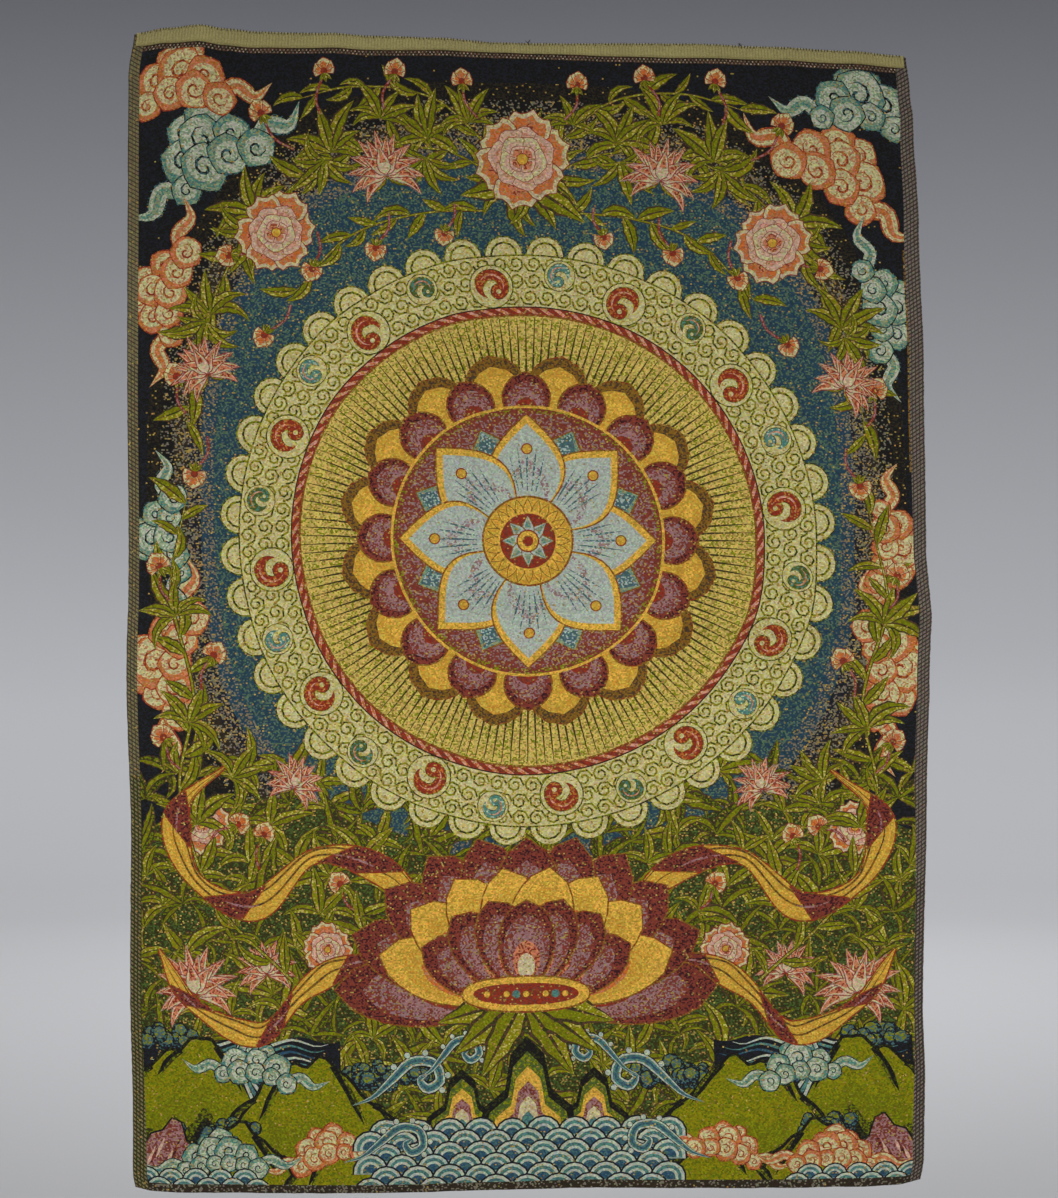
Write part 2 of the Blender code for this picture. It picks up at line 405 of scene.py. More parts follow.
def wound(outline):
    """The outline, in anticlockwise order."""
    outline = np.asarray(outline)
    return outline if swept(outline) > 0 else outline[::-1]


def outside_in(count):
    """Shares from -1 to 1, the outermost first."""
    order = sorted(range(count), key=lambda k: -abs(k - (count - 1) / 2))
    return [k / (count - 1) * 2 - 1 for k in order]


class Pen:
    """Draws patches of weave at its own place and turn. Later patches cover earlier ones."""

    def __init__(self, patches, at=0j, turn=1 + 0j, flip=False):
        self.patches, self.place, self.turn, self.flip = patches, at, turn, flip

    def moved(self, at=0j, turn=0.0, flip=False):
        """A pen at a place of this one's, turned by degrees and maybe mirrored."""
        step = turned(turn)
        if self.flip:
            at, step = complex(at).conjugate(), step.conjugate()
        return Pen(self.patches, self.place + self.turn * at, self.turn * step, self.flip != flip)

    def fill(self, outline, weave):
        outline = np.asarray(outline)
        outline = self.place + self.turn * (outline.conj() if self.flip else outline)
        self.patches.append((wound(outline), weave))

    def line(self, path, width, weave, start=1.0, end=1.0):
        """A line along a path, thinned towards its start and its end."""
        path = np.asarray(path)
        share = np.linspace(0, 1, len(path))
        half = width / 2 * np.minimum(np.minimum(start + 3 * share, end + 3 * (1 - share)), 1)
        side = sideways(path) * half
        self.fill(strip(path + side, path - side), weave)

    def edged(self, outline, weave, edge, width):
        self.fill(grown(outline, width), edge)
        self.fill(outline, weave)

    def discs(self, count, *rows):
        """Round patches about the pen's place: each row's radius and weave."""
        for radius, weave in rows:
            self.fill(circle(0, radius, count), weave)

    def around(self, count, radius, shift, shape, *sizes):
        """A shape so many times around the pen's place, pointing outwards."""
        for k in range(count):
            turn = 360 / count * k + shift
            shape(self.moved(turned(turn, radius), turn), *sizes)

    def each(self, *rows):
        """Each row's shape, at its place and turn, with its sizes."""
        for shape, place, turn, *sizes in rows:
            shape(self.moved(place, turn), *sizes)

    def both_sides(self):
        """The pen, and its mirror image about the middle line."""
        return self, self.moved(turn=180, flip=True)


# ---------------------------------------------------------------- leaves and flowers


def blade(length, width, bend, fullest, count):
    """The middle line of a leaf or petal along +x, and its half width at each place."""
    share = np.linspace(0, 1, count)
    middle = length * share * np.exp(1j * bend * share)
    return middle, sideways(middle) * width / 2 * np.sin(pi * share ** fullest)


def leaf(pen, length, width, bend=0.0, light="leaf light", mid="leaf mid"):
    """A curved leaf, a little toothed, with a dark edge and rib, lighter on one side."""
    middle, half = blade(length, width, bend, 0.8, 9)
    teeth = half * np.where(np.arange(9) % 2, 1.06, 0.88)
    pen.fill(lens(middle + teeth, middle - teeth), "leaf edge")
    pen.fill(lens(middle + half * 0.12, middle + teeth * 0.76), light)
    pen.fill(lens(middle - half * 0.12, middle - teeth * 0.76), mid)


def leaf_fan(pen, count, spread, length, light="leaf light", mid="leaf mid"):
    """Arching leaves that spread from one place, the middle ones longest and on top."""
    for share in sorted(outside_in(count), key=lambda share: -abs(share)):
        reach = length * (1.05 - 0.25 * share * share) * vary(0.8, 1.15)
        leaf(pen.moved(turn=share * spread / 2 + vary(-9, 9)), reach,
             reach * vary(0.27, 0.36), share * 0.9 + vary(-0.35, 0.35), light, mid)


def branch(pen, path, length, count, width=2.2):
    """A stem along a path, with leaves to both sides of it."""
    path = np.asarray(path)
    pen.line(path, width, "leaf edge", end=0.3)
    pen.line(path, width * 0.5, "leaf light", end=0.3)
    along = np.gradient(path)
    for k in range(count):
        place = int((k + 0.5) / count * len(path))
        side = 1 if k % 2 else -1
        heading = np.degrees(np.angle(along[place]))
        reach = length * vary(0.75, 1.2)
        leaf(pen.moved(path[place], heading + side * vary(24, 60)), reach,
             reach * vary(0.28, 0.38), side * vary(-0.9, 0.5))


def frilled(reach, spread, frills, count=11):
    """The outline of a petal from the pen's place along +x, with a frilled outer edge."""
    share = np.linspace(-1, 1, count)
    frill = 1 - 0.12 * abs(np.sin(share * frills * pi / 2)) - 0.20 * share ** 4
    return [0.10 * reach, *(reach * frill * np.exp(1j * radians(spread / 2) * share))]


def peony(pen, radius):
    """An open peony: broad orange petals about a full pale ball of smaller ones."""
    for k in range(6):
        petal_pen = pen.moved(turn=60 * k + vary(-8, 8))
        size = radius * vary(0.92, 1.08)
        petal_pen.edged(frilled(size, 74, 3), "flower rim", "flower line", 0.8)
        petal_pen.fill(frilled(size * 0.90, 66, 3), "bud")
        petal_pen.fill(frilled(size * 0.74, 44, 2), "flower deep")
    for reach, count, spread, weave, rim in ((0.70, 7, 70, "flower", "flower pale"),
                                             (0.50, 5, 88, "flower pale", "flower rim"),
                                             (0.30, 4, 96, "flower deep", "flower pale")):
        for k in range(count):
            petal_pen = pen.moved(turn=360 / count * k + reach * 90 + vary(-6, 6))
            size = radius * reach * vary(0.94, 1.06)
            petal_pen.edged(frilled(size, spread, 2, 8), rim, "flower line", 0.5)
            petal_pen.fill(frilled(size * 0.82, spread * 0.78, 2, 8), weave)
    pen.edged(circle(0, radius * 0.11, 8), "heart", "heart line", 0.7)


def petal(pen, length, width, weaves, bend=0.0, fullest=0.62, edge=0.8):
    """A pointed petal along +x: its line, its body, and its tip or heart."""
    line, body, tip = weaves
    middle, half = blade(length, width, bend, fullest, 8)
    pen.edged(lens(middle + half, middle - half), body, line, edge)
    middle, half = middle[3:], half[3:]
    pen.fill([*(middle + half * 0.62)[:-1], middle[-1] * 0.98, *(middle - half * 0.62)[-2::-1]], tip)


def lotus(pen, size):
    """A lotus seen from the side, its pointed petals fanned upwards about +y."""
    for turn in (-165, -140, -40, -15):
        leaf(pen.moved(turn=turn), size * 0.55, size * 0.24)
    for count, spread, length, width in ((11, 196, 1.0, 0.24), (8, 150, 0.84, 0.26),
                                         (5, 96, 0.66, 0.28)):
        for share in outside_in(count):
            reach = size * length * (1 - 0.16 * abs(share)) * vary(0.92, 1.08)
            petal(pen.moved(turn=90 - share * spread / 2), reach, size * width,
                  ("lotus line", "lotus", "lotus tip"), -0.6 * share)


def bud(pen, size, stem):
    """A small half-open flower along +x in a green cup, on a bent stem back to a place."""
    path = curve([stem, stem * 0.55 + 0.16j * abs(stem), 0j], 7)
    pen.line(path, 2.0, "flower line")
    pen.line(path, 1.1, "stem")
    for turn in (-68, 68, -36, 36, 0):
        side, reach = pen.moved(turn=turn), size * (1 - abs(turn) * 0.004)
        side.edged(frilled(reach, 64, 2, 7), "bud tip", "flower line", 0.6)
        side.fill(frilled(reach * 0.78, 50, 2, 7), "bud")
    pen.edged(circle(size * 0.14, size * 0.2, 8), "seat inner", "flower line", 0.4)
    for turn in (-140, 140, 180):
        leaf(pen.moved(turn=turn), size * 0.62, size * 0.3)


# ---------------------------------------------------------------- clouds, hills and water


def billow(pen, radius, tint):
    """One round billow, darker underneath, with a curl inside it."""
    lobes = [turned(24 * k, radius * (1 + 0.06 * cos(k * 2.1))) for k in range(15)]
    pen.edged(lobes, f"{tint} cloud fold", f"{tint} cloud line", 1.0)
    pen.fill(circle(radius * (0.06 + 0.16j), radius * 0.82, 12), f"{tint} cloud")
    pen.line(spiral(radius * 0.56, radius * 0.10, 1.1, 10), radius * 0.13, f"{tint} cloud line",
             start=0.1, end=0.6)


def cloud(pen, length, height, tint):
    """A bank of billows, heaped highest in its middle, over two trailing streamers."""
    for way in (1, -1):
        trail = curve([0j, way * length * 0.34 - height * 0.06j, way * length * 0.52 + height * 0.10j,
                       way * length * 0.68 - height * 0.10j, way * length * 0.86 + height * 0.12j], 18)
        for width, part in ((0.30, "cloud line"), (0.24, "cloud"), (0.10, "cloud fold")):
            pen.line(trail, height * width, f"{tint} {part}", end=0.0)
    for rise, reach, size in ((0.66, 0.20, 0.28), (0.38, 0.36, 0.36), (0.04, 0.46, 0.29)):
        count = max(2, round(length * reach * 2 / (height * size * 1.45)))
        for k in range(count):
            share = (k + 0.5) / count * 2 - 1
            place = complex(share * reach * length, height * (rise - 0.26 * share * share))
            radius = height * size * vary(0.8, 1.25) * (1 - 0.2 * abs(share))
            billow(pen.moved(place, vary(-50, 50), flip=share > 0), radius, tint)


def hill(pen, width, height, lean):
    """A green hill about the pen's place, with dark crevices down it and a dark, mottled foot."""
    share = np.linspace(-1, 1, 33)
    roll = 1 + 0.05 * np.sin(share * 11 + width) + 0.03 * np.sin(share * 23 + height)
    profile = height * (np.cos(share * pi / 2) ** 0.9 * roll)
    ridge = share * width / 2 + 1j * profile + lean * profile
    foot = [complex(width / 2, -45), complex(-width / 2, -45)]
    pen.edged([*ridge, *foot], "hill edge", "ink line", 2.4)
    gullies = 0.9 + 0.1 * np.sin(share * 17 + height)
    for depth, weave in ((1.1, "hill low"), (0.95, "hill"), (0.62, "hill high")):
        lower = ridge - 1j * (height * depth * gullies * np.cos(share * pi / 2) ** 0.4)
        pen.fill(lens(ridge[1:-1] - 0.3j, lower), weave)
    for k in (7, 13, 20, 26):
        fall = complex(copysign(0.16, share[k] + 0.1) * width, -profile[k] * vary(0.30, 0.62))
        crevice = curve([ridge[k] + 1j, ridge[k] + fall * 0.5 + 3j, ridge[k] + fall], 7)
        pen.line(crevice, 5.0, "ink line", end=0.0)
        pen.line(crevice[1:] + 2.2, 2.6, "hill low", start=0.2, end=0.0)


def ripples(pen, width, height, count):
    """Dark water with pale lines that rise and fall across it."""
    share = np.linspace(-1, 1, 25)
    across, crest = share * width / 2, height * 0.06 * np.cos(share * width / 14)
    pen.fill(strip(across + 1j * crest, across - 1j * height), "wave line")
    for k in range(count):
        line = across * vary(0.8, 1) + 1j * (crest - height * (k + 0.5) / count)
        pen.line(line, height * 0.45 / count, ("wave foam", "wave", "wave deep")[k % 3], 0.2, 0.2)


def trees(pen, count, reach, size):
    """A thicket of round dark crowns."""
    for _ in range(count):
        place = complex(rng.gauss(0, reach), abs(rng.gauss(0, reach * 0.4)))
        radius = size * vary(0.7, 1.2)
        pen.edged(circle(place, radius, 9), "tree dark", "ink line", 0.7)
        pen.fill(circle(place + radius * (0.12 + 0.22j), radius * 0.70, 8), "tree")


def sea(pen, width, rows, radius):
    """Overlapping scales of nested foam and water, row before row, upwards about the pen's place."""
    for row in range(rows, -1, -1):
        count = round(width / (radius * 1.7))
        for k in range(-count // 2, count // 2 + 1):
            scale = pen.moved(complex((k + 0.5 * (row % 2)) * radius * 1.7, row * radius * 0.62))
            size = radius * vary(0.96, 1.04)
            for share, weave in ((1.0, "wave line"), (0.90, "wave foam"), (0.74, "wave"),
                                 (0.56, "wave foam"), (0.42, "wave deep")):
                scale.fill(arc(size * share, -8, 188, 9), weave)


def breaker(pen, size):
    """A curling wave along +x with fingers of foam."""
    body = curve([-1.1 - 0.1j, -0.62 + 0.02j, -0.14 + 0.34j, 0.34 + 0.66j, 0.82 + 0.56j, 0.90 + 0.16j,
                  0.60 + 0.02j, 0.46 + 0.24j, 0.62 + 0.34j], 28) * size
    for width, weave in ((0.27, "wave line"), (0.22, "wave foam"), (0.14, "wave"), (0.05, "wave deep")):
        pen.line(body, size * width, weave, start=0.05, end=0.3)
    for k in range(8, 20, 2):
        place = body[k] + sideways(body)[k] * size * 0.17
        pen.edged(circle(place, size * 0.07, 7), "wave foam", "wave line", 0.5)


def stream(pen, knots, width):
    """Falling water: dark and pale strands side by side."""
    path = curve(knots, 16)
    side = sideways(path) * width
    pen.line(path, width * 1.1, "wave line", end=0.6)
    for k, weave in enumerate(("wave foam", "wave", "wave foam", "wave deep", "wave foam", "wave")):
        sway = 0.05 * np.sin(np.arange(16) * 1.3 + k)
        pen.line(path + side * (-0.42 + 0.168 * k + sway), width * 0.12, weave, end=0.3)


def sized(outline, width, height):
    return outline.real * width + 1j * outline.imag * height


def rock(pen, width, height):
    """A rosy rock with slanting streaks."""
    side = np.array([-0.5, -0.48 + 0.5j, -0.34 + 0.72j, -0.12 + 0.78j, 0.06 + 1j, 0.22 + 0.94j,
                     0.32 + 0.62j, 0.46 + 0.5j, 0.5])
    pen.edged([*sized(side, width, height), complex(width / 2, -30), complex(-width / 2, -30)],
              "rock warm", "ink line", 1.4)
    for k in range(9):
        start = complex(width * (-0.46 + 0.10 * k), height * (0.12 + 0.10 * (k % 3)))
        streak = height * vary(0.22, 0.40) * (0.45 + 1j)
        pen.line([start, start + streak * 0.5, start + streak], 2.6,
                 "seat outer" if k % 2 else "flower pale", start=0.2, end=0.1)


def banded_rock(pen, width, height):
    """A rock that rises from the sea in nested bands."""
    side = np.array([-0.5, -0.42 + 0.36j, -0.22 + 0.52j, -0.16 + 0.84j, 1j, 0.16 + 0.84j,
                     0.22 + 0.52j, 0.42 + 0.36j, 0.5])
    for k, weave in enumerate(("ink line", "rock", "petal gold", "rock warm", "flower rim",
                               "wave", "hill high")):
        pen.fill(sized(side, width, height) * (1 - 0.135 * k), weave)


# ---------------------------------------------------------------- the picture

Width = namedtuple("Width", "down wide")

# The side hems aren't folded quite along the thread, so the twill borders vary in width
LEFT_BORDER = (Width(0, 8.8), Width(300, 8.4), Width(650, 8.2), Width(780, 8.8), Width(871, 11.2))
RIGHT_BORDER = (Width(0, 9.6), Width(120, 11.6), Width(300, 10.8), Width(400, 9.4), Width(470, 9.4),
                Width(560, 9.8), Width(640, 7.6), Width(740, 6.6), Width(800, 8.8), Width(871, 8.8))
FOOT_EDGE_WIDTH = 6.6
STRIP = 4.2                # height of the brown strip that shows under the tape
STRIP_DOTS = 2.9           # pitch of its pale dots
HALF_WIDE = PANEL_WIDTH * 500
FULL_DROP = PANEL_DROP * 1000
ROUND_MIDDLE = -378j
ROUND_RADIUS = 220.0


def draw_sky(pen):
    pen.fill(box(-HALF_WIDE, -FULL_DROP, HALF_WIDE, 0), "night")
    for k, weave in enumerate(("night glint", "sky rim", "sky glint", "sky dusk", "sky deep", "sky")):
        pen.fill(squared_oval(-352j, 286 - 10 * k, 322 - 13 * k, 2.6), weave)


def draw_corners(pen):
    """Cloud banks in the upper corners and beside the round."""
    for half, tint, other in zip(pen.both_sides(), ("cool", "warm"), ("warm", "cool")):
        half.each((cloud, -232 - 100j, 34, 92, 50, tint), (cloud, -258 - 50j, 6, 80, 44, other),
                  (cloud, -266 - 198j, 80, 84, 38, other), (cloud, -262 - 476j, 84, 96, 44, "warm"),
                  (cloud, -268 - 380j, 96, 76, 36, tint))


def draw_banks(pen):
    """Foliage, lotuses and buds along both sides under the round."""
    pen.fill([complex(x, -600 - 26 * cos(x / 62)) for x in range(-300, 301, 20)]
             + [300 - 871j, -300 - 871j], "thicket")
    for half in pen.both_sides():
        for row in range(14):
            for column in range(9):
                place = complex(-284 + 33 * column + vary(-12, 12), -560 - 20 * row + vary(-8, 8))
                looks = ("leaf light", "leaf mid") if rng.random() < 0.65 else ("leaf mid", "leaf dark")
                leaf_fan(half.moved(place, vary(20, 160)), 4, 150, vary(26, 38), *looks)
        half.each((peony, -246 - 596j, 20, 22), (lotus, -176 - 566j, -20, 25),
                  (peony, -150 - 688j, 40, 20), (lotus, -196 - 706j, 10, 26))
        climb = curve([-176 - 712j, -236 - 652j, -262 - 572j, -250 - 500j, -268 - 420j, -256 - 350j], 60)
        branch(half, climb, 30, 26, 3.0)
        for place, turn, length in ((-254 - 520j, 60, 34), (-264 - 440j, 120, 32),
                                    (-250 - 596j, 110, 36), (-222 - 560j, 40, 30)):
            leaf_fan(half.moved(place, turn), 6, 150, length)
        half.each((bud, -272 - 532j, 130, 13, -24 + 6j), (bud, -236 - 470j, 60, 13, -26 - 6j),
                  (bud, -276 - 404j, 120, 13, -24 + 6j), (bud, -220 - 596j, 40, 12, -22 + 4j),
                  (bud, -140 - 640j, 130, 12, -20 + 4j), (bud, -200 - 604j, 70, 12, -24 - 6j))


def draw_garland(pen):
    """Leafy branches, lotuses, peonies and buds that arch over the round."""
    for half in pen.both_sides():
        lower = curve([-30 - 128j, -84 - 134j, -132 - 152j, -176 - 198j], 30)
        upper = curve([-20 - 84j, -66 - 46j, -120 - 38j, -172 - 50j], 30)
        arch = curve([-6 - 108j, -64 - 84j, -138 - 92j, -200 - 140j, -240 - 214j, -256 - 300j], 80)
        for path, length, count in ((lower, 25, 13), (upper, 26, 13), (arch, 30, 30)):
            branch(half, path, length, count)
        for place, turn, length in ((-72 - 76j, 126, 36), (-146 - 90j, 96, 38), (-204 - 136j, 140, 38),
                                    (-150 - 96j, 246, 32), (-206 - 146j, 262, 34), (-74 - 90j, 250, 30),
                                    (-238 - 214j, 120, 34), (-240 - 220j, 230, 30),
                                    (-108 - 62j, 80, 30), (-40 - 62j, 100, 28)):
            leaf_fan(half.moved(place, turn), 6, 130, length)
        half.each((bud, -44 - 33j, 96, 12, -26 - 8j), (bud, -96 - 28j, 84, 12, -28 + 6j),
                  (bud, -150 - 30j, 100, 12, -30 + 9j), (bud, -198 - 62j, 120, 13, -34 - 8j),
                  (bud, -222 - 168j, 190, 12, -24 - 8j), (bud, -262 - 262j, 120, 13, -26 + 8j),
                  (bud, -112 - 158j, 262, 12, -26 + 6j), (bud, -160 - 176j, 250, 12, -26 - 6j),
                  (bud, -196 - 226j, 240, 12, -28 + 6j), (bud, -250 - 332j, 262, 13, -28 + 6j),
                  (bud, -60 - 146j, 262, 11, -22 + 4j), (lotus, -104 - 104j, 14, 33))
        half.each((peony, -188 - 150j, vary(0, 60), 31), (lotus, -240 - 258j, 30, 29))
    pen.each((leaf_fan, -104j, 90, 9, 180, 50), (leaf_fan, -106j, 200, 5, 90, 46),
             (leaf_fan, -106j, 340, 5, 90, 46), (peony, -88j, 12, 38))


def rope_strand(pen, radius, width):
    """One light strand of a twisted rope, slanting across it."""
    pen.fill([turned(0, radius + 0.5), turned(1.44, radius + 0.3),
              turned(3.96, radius + width - 0.4), turned(2.52, radius + width - 0.4)], "ring rope light")


def volute(pen, size, weave):
    """A comma-shaped curl that opens along +x, with a pale ring about it."""
    pen.discs(20, (size * 1.30, "scroll line"), (size * 1.22, "scroll ground"))
    path = arc(size * 0.70, 30, 318, 18)
    head = turned(30, size * 0.50)
    for grow, look in ((1.3, "scroll line"), (0.0, weave)):
        pen.line(path, size * 0.58 + grow, look, start=0.9, end=0.0)
        pen.fill(circle(head, size * 0.44 + grow / 2, 12), look)
    pen.line(path[1:13], size * 0.12, "ring rope light", start=0.1, end=0.0)
    pen.fill(circle(head, size * 0.15, 7), "scroll ground")


def draw_scrolls(pen, middle, reach):
    """The pale ring of scrolls: a fine ground of curls, under volutes of three colours."""
    for k in range(44):
        lobe = pen.moved(turned(360 * (k + 0.5) / 44, middle + reach * 0.92))
        lobe.edged(circle(0, reach * 0.66, 14), "scroll ground", "scroll line", 1.1)
        lobe.discs(12, (reach * 0.50, "scroll line"), (reach * 0.42, "scroll ground"))
    pen.discs(96, (middle + reach * 0.94, "scroll line"), (middle + reach * 0.88, "scroll ground"))
    for row, shift in ((middle + reach * 0.60, 0), (middle, 0.5), (middle - reach * 0.60, 0)):
        count = round(2 * pi * row / (reach * 0.62))
        for k in range(count):
            curl = pen.moved(turned(360 * (k + shift) / count, row), 360 * k / count + 90)
            curl.line(spiral(reach * 0.33, reach * 0.08, 1.45, 11), 1.6, "scroll fine")
    for k in range(24):
        turn = 15 * (k + 0.5)
        weave = ("scroll red", "scroll blue", "scroll red", "scroll green")[k % 4]
        place = turned(turn, middle + reach * (0.24 if k % 2 else -0.18))
        volute(pen.moved(place, turn + 200, flip=k % 4 < 2), reach * (0.44 if k % 2 else 0.62), weave)


def seat_petal(pen, length, width, weaves):
    """A broad lotus petal along +x with a drawn-out point, in nested bands of weave."""
    share = np.linspace(0, 1, 12)
    half = width / 2 * np.sin(pi * np.minimum(share, 0.999) ** 1.25) ** 0.55
    for k, weave in enumerate(weaves):
        scale = 1 - 0.17 * k
        middle = length * (share * scale + 0.03 * k)
        side = 1j * half * scale
        outline = lens(middle + side, middle - side)
        if k == 0:
            pen.fill(grown(outline, 1.2), "petal line")
        pen.fill(outline, weave)


def blue_petal(pen):
    """One petal of the blossom: pale blue, rosy at its root, with gold outlines and veins."""
    middle, half = blade(84, 56, 0, 1.0, 14)
    pen.edged(lens(middle + half, middle - half), "petal gold", "petal line", 1.2)
    for scale, start, weave in ((0.90, 0.02, "petal blue"), (0.60, 0.03, "petal blue deep"),
                                (0.46, 0.05, "petal blue")):
        inner = middle * (scale + start) + 1j * half.imag * scale
        pen.fill(lens(inner, inner.conj()), weave)
    for turn in (-14, -7, 0, 7, 14):
        ray = np.linspace(26, 66 - abs(turn) * 0.8, 4) * turned(turn)
        pen.line(ray, 1.5, "petal blue vein", start=0.4, end=0.1)
    pen.edged(circle(58, 3.4, 12), "heart", "heart line", 1.0)


def draw_round(pen):
    """The great round: scrolls, a rope, a glory of rays, petals, and a pale blue blossom."""
    draw_scrolls(pen, ROUND_RADIUS - 22, 21)
    inner, rope = ROUND_RADIUS - 48, 5.4
    pen.discs(90, (inner + rope + 0.8, "ink line"), (inner + rope, "ring rope"))
    pen.around(100, 0, 0, rope_strand, inner, rope)
    pen.discs(96, (inner, "petal line"), (inner - 1.4, "glory"))
    pen.around(160, 0, 0, Pen.line, np.linspace(90, inner - 2.6, 4), 1.6, "ray", 0.4, 0.3)
    pen.around(16, 88, 11.25, seat_petal, 54, 44, ("robe fold", "robe", "petal gold", "robe"))
    pen.around(16, 84, 0, seat_petal, 44, 35,
               ("seat outer", "halo 2", "seat mid", "seat inner", "seat heart"))
    pen.edged(circle(0, 101, 90), "halo rim", "petal gold", 2.0)
    pen.discs(80, *((97 - 9 * k, f"halo {k + 1}") for k in range(6)))
    pen.around(8, 22, 22.5, petal, 68, 46, ("petal line", "petal green", "petal blue vein"), 0, 0.9, 1.4)
    pen.around(8, 12, 0, blue_petal)
    # the gold wheel at the heart of the blossom
    pen.edged(circle(0, 33, 48), "robe", "petal line", 1.6)
    pen.around(24, 19, 0, petal, 13, 5.4, ("robe fold", "petal gold", "heart"), 0, 0.8, 0.5)
    pen.edged(circle(0, 21, 36), "seat inner", "petal gold", 1.6)
    pen.around(8, 3, 0, petal, 16, 9, ("petal line", "petal blue", "petal green"))
    pen.edged(circle(0, 7.5, 20), "petal gold", "heart line", 1.2)
    pen.edged(circle(0, 3.4, 12), "seat inner", "heart line", 0.8)


def draw_land(pen):
    """Green hills with streams, thickets, lotuses, rosy rocks and low clouds between them."""
    for half, tint in zip(pen.both_sides(), ("cool", "warm")):
        half.each((ripples, -216 - 756j, 0, 150, 40, 9), (trees, -268 - 760j, 0, 20, 13, 6.0),
                  (lotus, -250 - 722j, 12, 36), (hill, -254 - 824j, 0, 120, 66, 0.06),
                  (stream, 0j, 0, [-206 - 748j, -210 - 776j, -198 - 806j, -206 - 850j], 20),
                  (trees, -116 - 788j, 0, 30, 17, 6.0), (hill, -160 - 852j, 0, 150, 80, -0.08),
                  (trees, -222 - 828j, 0, 22, 12, 5.5), (ripples, -262 - 834j, 0, 80, 44, 9),
                  (hill, -226 - 884j, 0, 120, 62, 0.06), (rock, -272 - 860j, 0, 40, 44),
                  (ripples, -110 - 842j, 0, 90, 34, 7), (hill, -140 - 886j, 0, 110, 46, 0.02),
                  (cloud, -206 - 782j, -8, 66, 28, "cool"), (cloud, -150 - 842j, 14, 62, 26, "warm"),
                  (cloud, -232 - 850j, 3, 72, 27, tint))


def draw_sea(pen):
    """The sea along the foot, with banded rocks, and breakers at both ends of it."""
    for half in pen.both_sides():
        half.each((breaker, -96 - 796j, 8, 34), (breaker, -58 - 776j, 14, 26))
    pen.each((banded_rock, -50 - 834j, 0, 62, 56), (banded_rock, 50 - 834j, 0, 62, 56),
             (banded_rock, -838j, 0, 80, 84), (sea, -872j, 0, 210, 5, 14))
    for half in pen.both_sides():
        half.each((breaker, -106 - 842j, 4, 30), (sea, -252 - 877j, 0, 90, 2, 11))


def sash(pen, knots, width):
    """A gold sash along a path, which turns over to show its maroon back in three short stretches."""
    path = curve(knots, 73)
    share = np.linspace(0, 1, 73)
    sway = 0.74 + 0.26 * np.cos(share * 21 + width)
    half = sideways(path) * width / 2 * sway * np.minimum(1, 5 * (1 - share) + 0.05)
    pen.edged(strip(path + half, path - half), "robe", "heart line", 1.2)
    for place, weave in ((-0.72, "robe fold"), (-0.34, "petal gold"), (0.1, "robe fold"),
                         (0.5, "petal gold")):
        pen.line(path + half * (place + 0.14 * np.sin(share * 34)), 1.5, weave, start=0.1, end=0.1)
    for start, end in ((14, 22), (35, 42), (56, 62)):
        turn = strip((path + half)[start + 3:end + 3], (path - half)[start - 3:end - 3])
        pen.edged(turn, "seat outer", "heart line", 1.0)
        pen.line(path[start:end], 1.6, "seat mid", start=0.2, end=0.2)


def draw_seat(pen):
    """The open lotus that bears the round, with sashes to each side."""
    for half in pen.both_sides():
        sash(half, [-60 - 690j, -104 - 632j, -160 - 618j, -206 - 656j, -254 - 634j, -264 - 586j,
                    -228 - 552j], 21)
        sash(half, [-60 - 712j, -120 - 696j, -164 - 716j, -202 - 752j, -252 - 730j, -278 - 690j], 18)
    for count, spread, length, width, weaves in (
            (11, 176, 118, 52, ("seat outer", "halo 2", "seat mid", "seat inner", "petal gold")),
            (8, 148, 94, 48, ("petal gold", "robe", "bud", "seat inner", "seat outer")),
            (7, 130, 71, 42, ("seat outer", "halo 2", "seat mid", "seat heart", "flower rim"))):
        for share in outside_in(count):
            seat_petal(pen.moved(-722j, 90 - share * spread / 2), length * (1 + 0.22 * abs(share)),
                       width, weaves)
    for turn in (196, 218, 240, 300, 322, 344):
        leaf(pen.moved(-724j, turn), 70, 25)
    pen.edged(squared_oval(-722j, 48, 13, 2.2, 28), "petal gold", "petal line", 1.4)
    pen.fill(squared_oval(-722j, 40, 8.4, 2.2, 28), "seat inner")
    for k in range(9):
        bead = circle(complex((k - 4) * 7.4, -722), 3.2 * (1 if k % 2 else 0.75), 8)
        pen.edged(bead, ("petal gold", "seat inner", "petal gold", "wave")[k % 4], "heart line", 0.7)


def border(pen, side, ends, weave, more=0.0):
    """A stretch of the border down the left side (-1) or the right (1), a little wider if asked."""
    marks, wide = np.array(LEFT_BORDER if side < 0 else RIGHT_BORDER).T
    down = np.linspace(*ends, 25)
    outer = side * HALF_WIDE - 1j * down
    pen.fill(strip(outer - side * (np.interp(down, marks, wide) + more), outer), weave)


